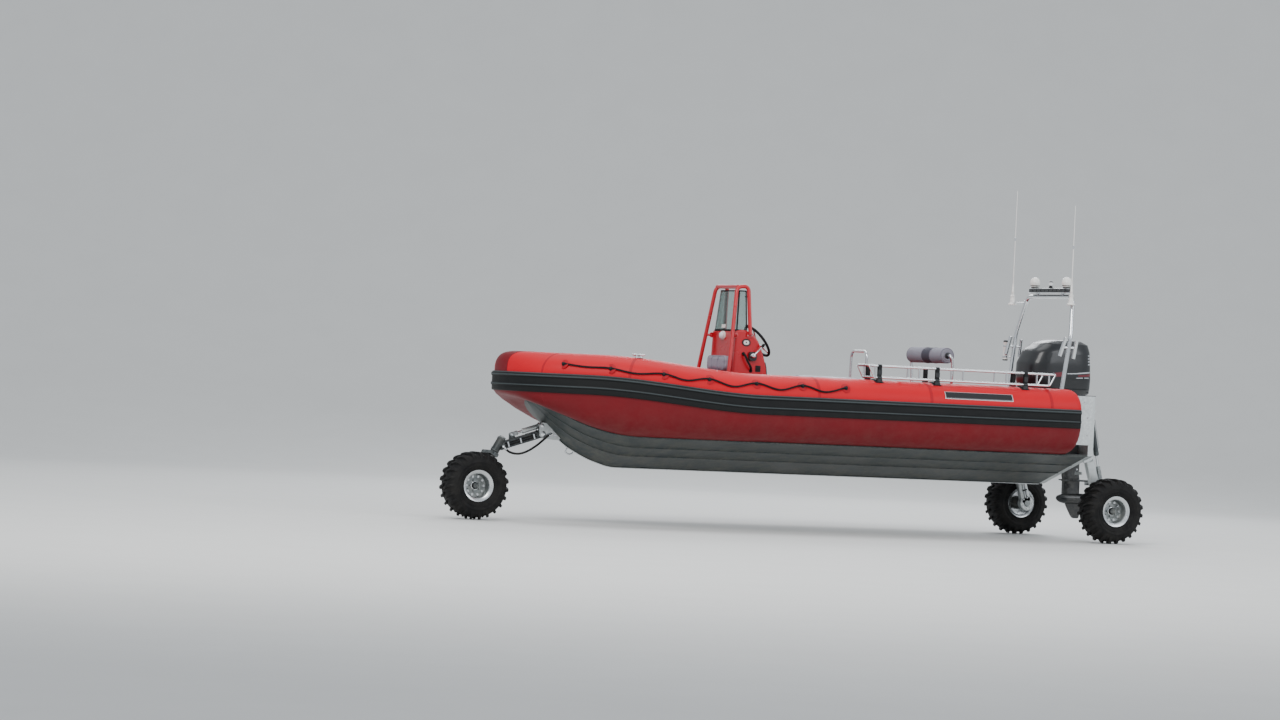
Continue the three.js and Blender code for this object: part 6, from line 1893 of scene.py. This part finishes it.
PROP_X, HUB_START, BLADES = 6665, 6618, 3
BLADE = (  # radius, half chord, half thickness, pitch in degrees, sweep
    (34, 42, 7, 62, 0), (55, 56, 6.6, 54, 1), (80, 68, 6, 46, 2), (105, 74, 5.2, 39, 4),
    (130, 74, 4.5, 34, 6), (148, 62, 3.6, 31, 9), (160, 46, 3, 30, 11), (168, 28, 2.2, 29, 13),
    (172, 10, 1.4, 28, 14),
)
SECTION = ((-1, 0), (-0.7, 0.62), (-0.3, 0.97), (0.2, 0.95), (0.65, 0.6), (1, 0), (0.65, -0.35),
           (0.2, -0.5), (-0.3, -0.5), (-0.7, -0.3))
spin([(0, 0), (37, 0), (44, 4), (44, 30), (43, 70), (40, 112), (36, 115), (30, 115), (30, 92), (0, 92)],
     (HUB_START, 0, PROP_Z), AFT, "motor black", 44)
rod((6612.4, 0, PROP_Z), (HUB_START + 2, 0, PROP_Z), 16, "stainless", 24)
rod((HUB_START + 90, 0, PROP_Z), (HUB_START + 106, 0, PROP_Z), 17, "stainless", 6, 1)
rod((HUB_START + 104, 0, PROP_Z), (HUB_START + 112, 0, PROP_Z), 10, "stainless", 20, 2)
for k in range(BLADES):
    turn = Matrix.Rotation(2 * pi * k / BLADES, 3, "X")
    rings = []
    for radius, half, thick, pitch, sweep in BLADE:
        angle = radians(90 - pitch)
        along, across = cos(angle), sin(angle)
        ring = []
        for c, t in SECTION:
            a, b = c * half + sweep, t * thick
            ring.append(turn @ Vector((a * along - b * across, a * across + b * along, radius))
                        + Vector((PROP_X, 0, PROP_Z)))
        rings.append(ring)
    loft(rings, "motor black")
piece("propeller", "outboard_propeller", sharp=50)

# Studio: one pale floor that curves up into a backdrop, and soft lights

AIM = Vector((0, 0, 1.2))

def make_floor():
    """A sheet square to the camera's bearing, flat under the boat and rising far behind it.

    Its back is clear, so that it hides the boat from no side.
    """
    ahead = Vector((CAMERA_AHEAD.x, CAMERA_AHEAD.y, 0)).normalized()
    across = Vector((ahead.y, -ahead.x, 0))
    start, bend, top, half = 14, 16, 40, 60
    profile = [(-half, 0), (start, 0)]
    for k in range(1, 25):
        a = pi / 2 * k / 24
        profile.append((start + bend * sin(a), bend - bend * cos(a)))
    profile.append((start + bend, top))
    points, faces = [], []
    for along, height in profile:
        for wide in (-half, half):
            points.append(ahead * along + across * wide + UP * height)
    for k in range(len(profile) - 1):
        faces.append((2 * k, 2 * k + 1, 2 * k + 3, 2 * k + 2))
    mesh = bpy.data.meshes.new("floor")
    mesh.from_pydata(points, [], faces)
    mesh.polygons.foreach_set("use_smooth", [True] * len(mesh.polygons))
    material, tree, shader = new_material("floor")
    tone = use(tree, "mottle", Colour=linear("dcdddb"), Scale=1.5, Depth=0.015)
    fill(shader, {"Base Color": tone["Colour"], "Roughness": 0.75})
    behind = put(tree, "NewGeometry").outputs["Backfacing"]
    clear = put(tree, "BsdfTransparent").outputs[0]
    sheet = put(tree, "MixShader", None, _0=behind, _1=shader.outputs[0], _2=clear).outputs[0]
    fill(tree.nodes["Material Output"], {"Surface": sheet})
    mesh.materials.append(material)
    placed("floor", mesh)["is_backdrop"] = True


def soft_light(name, place, size, watts, colour=(1, 1, 1)):
    """Wide lamp that points at the boat"""
    data = bpy.data.lights.new(name, "AREA")
    data.shape = "RECTANGLE"
    data.size, data.size_y = size
    data.energy = watts
    data.color = colour
    light = placed(name, data)
    light.location = place
    light.rotation_euler = (Vector(place) - AIM).to_track_quat("Z", "Y").to_euler()


make_floor()
soft_light("key", (-9, -11, 12), (9, 7), 1700, (1, 0.985, 0.96))
soft_light("fill", (10, -13, 7), (8, 6), 550, (0.93, 0.96, 1))
soft_light("top", (1, 2, 15), (14, 10), 900)
soft_light("rim", (7, 12, 9), (8, 5), 900, (0.95, 0.97, 1))
world = bpy.data.worlds.new("room")
world.use_nodes = True
fill(world.node_tree.nodes["Background"], {"Color": (0.82, 0.86, 0.92, 1), "Strength": 0.85})
bpy.context.scene.world = world

low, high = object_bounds()
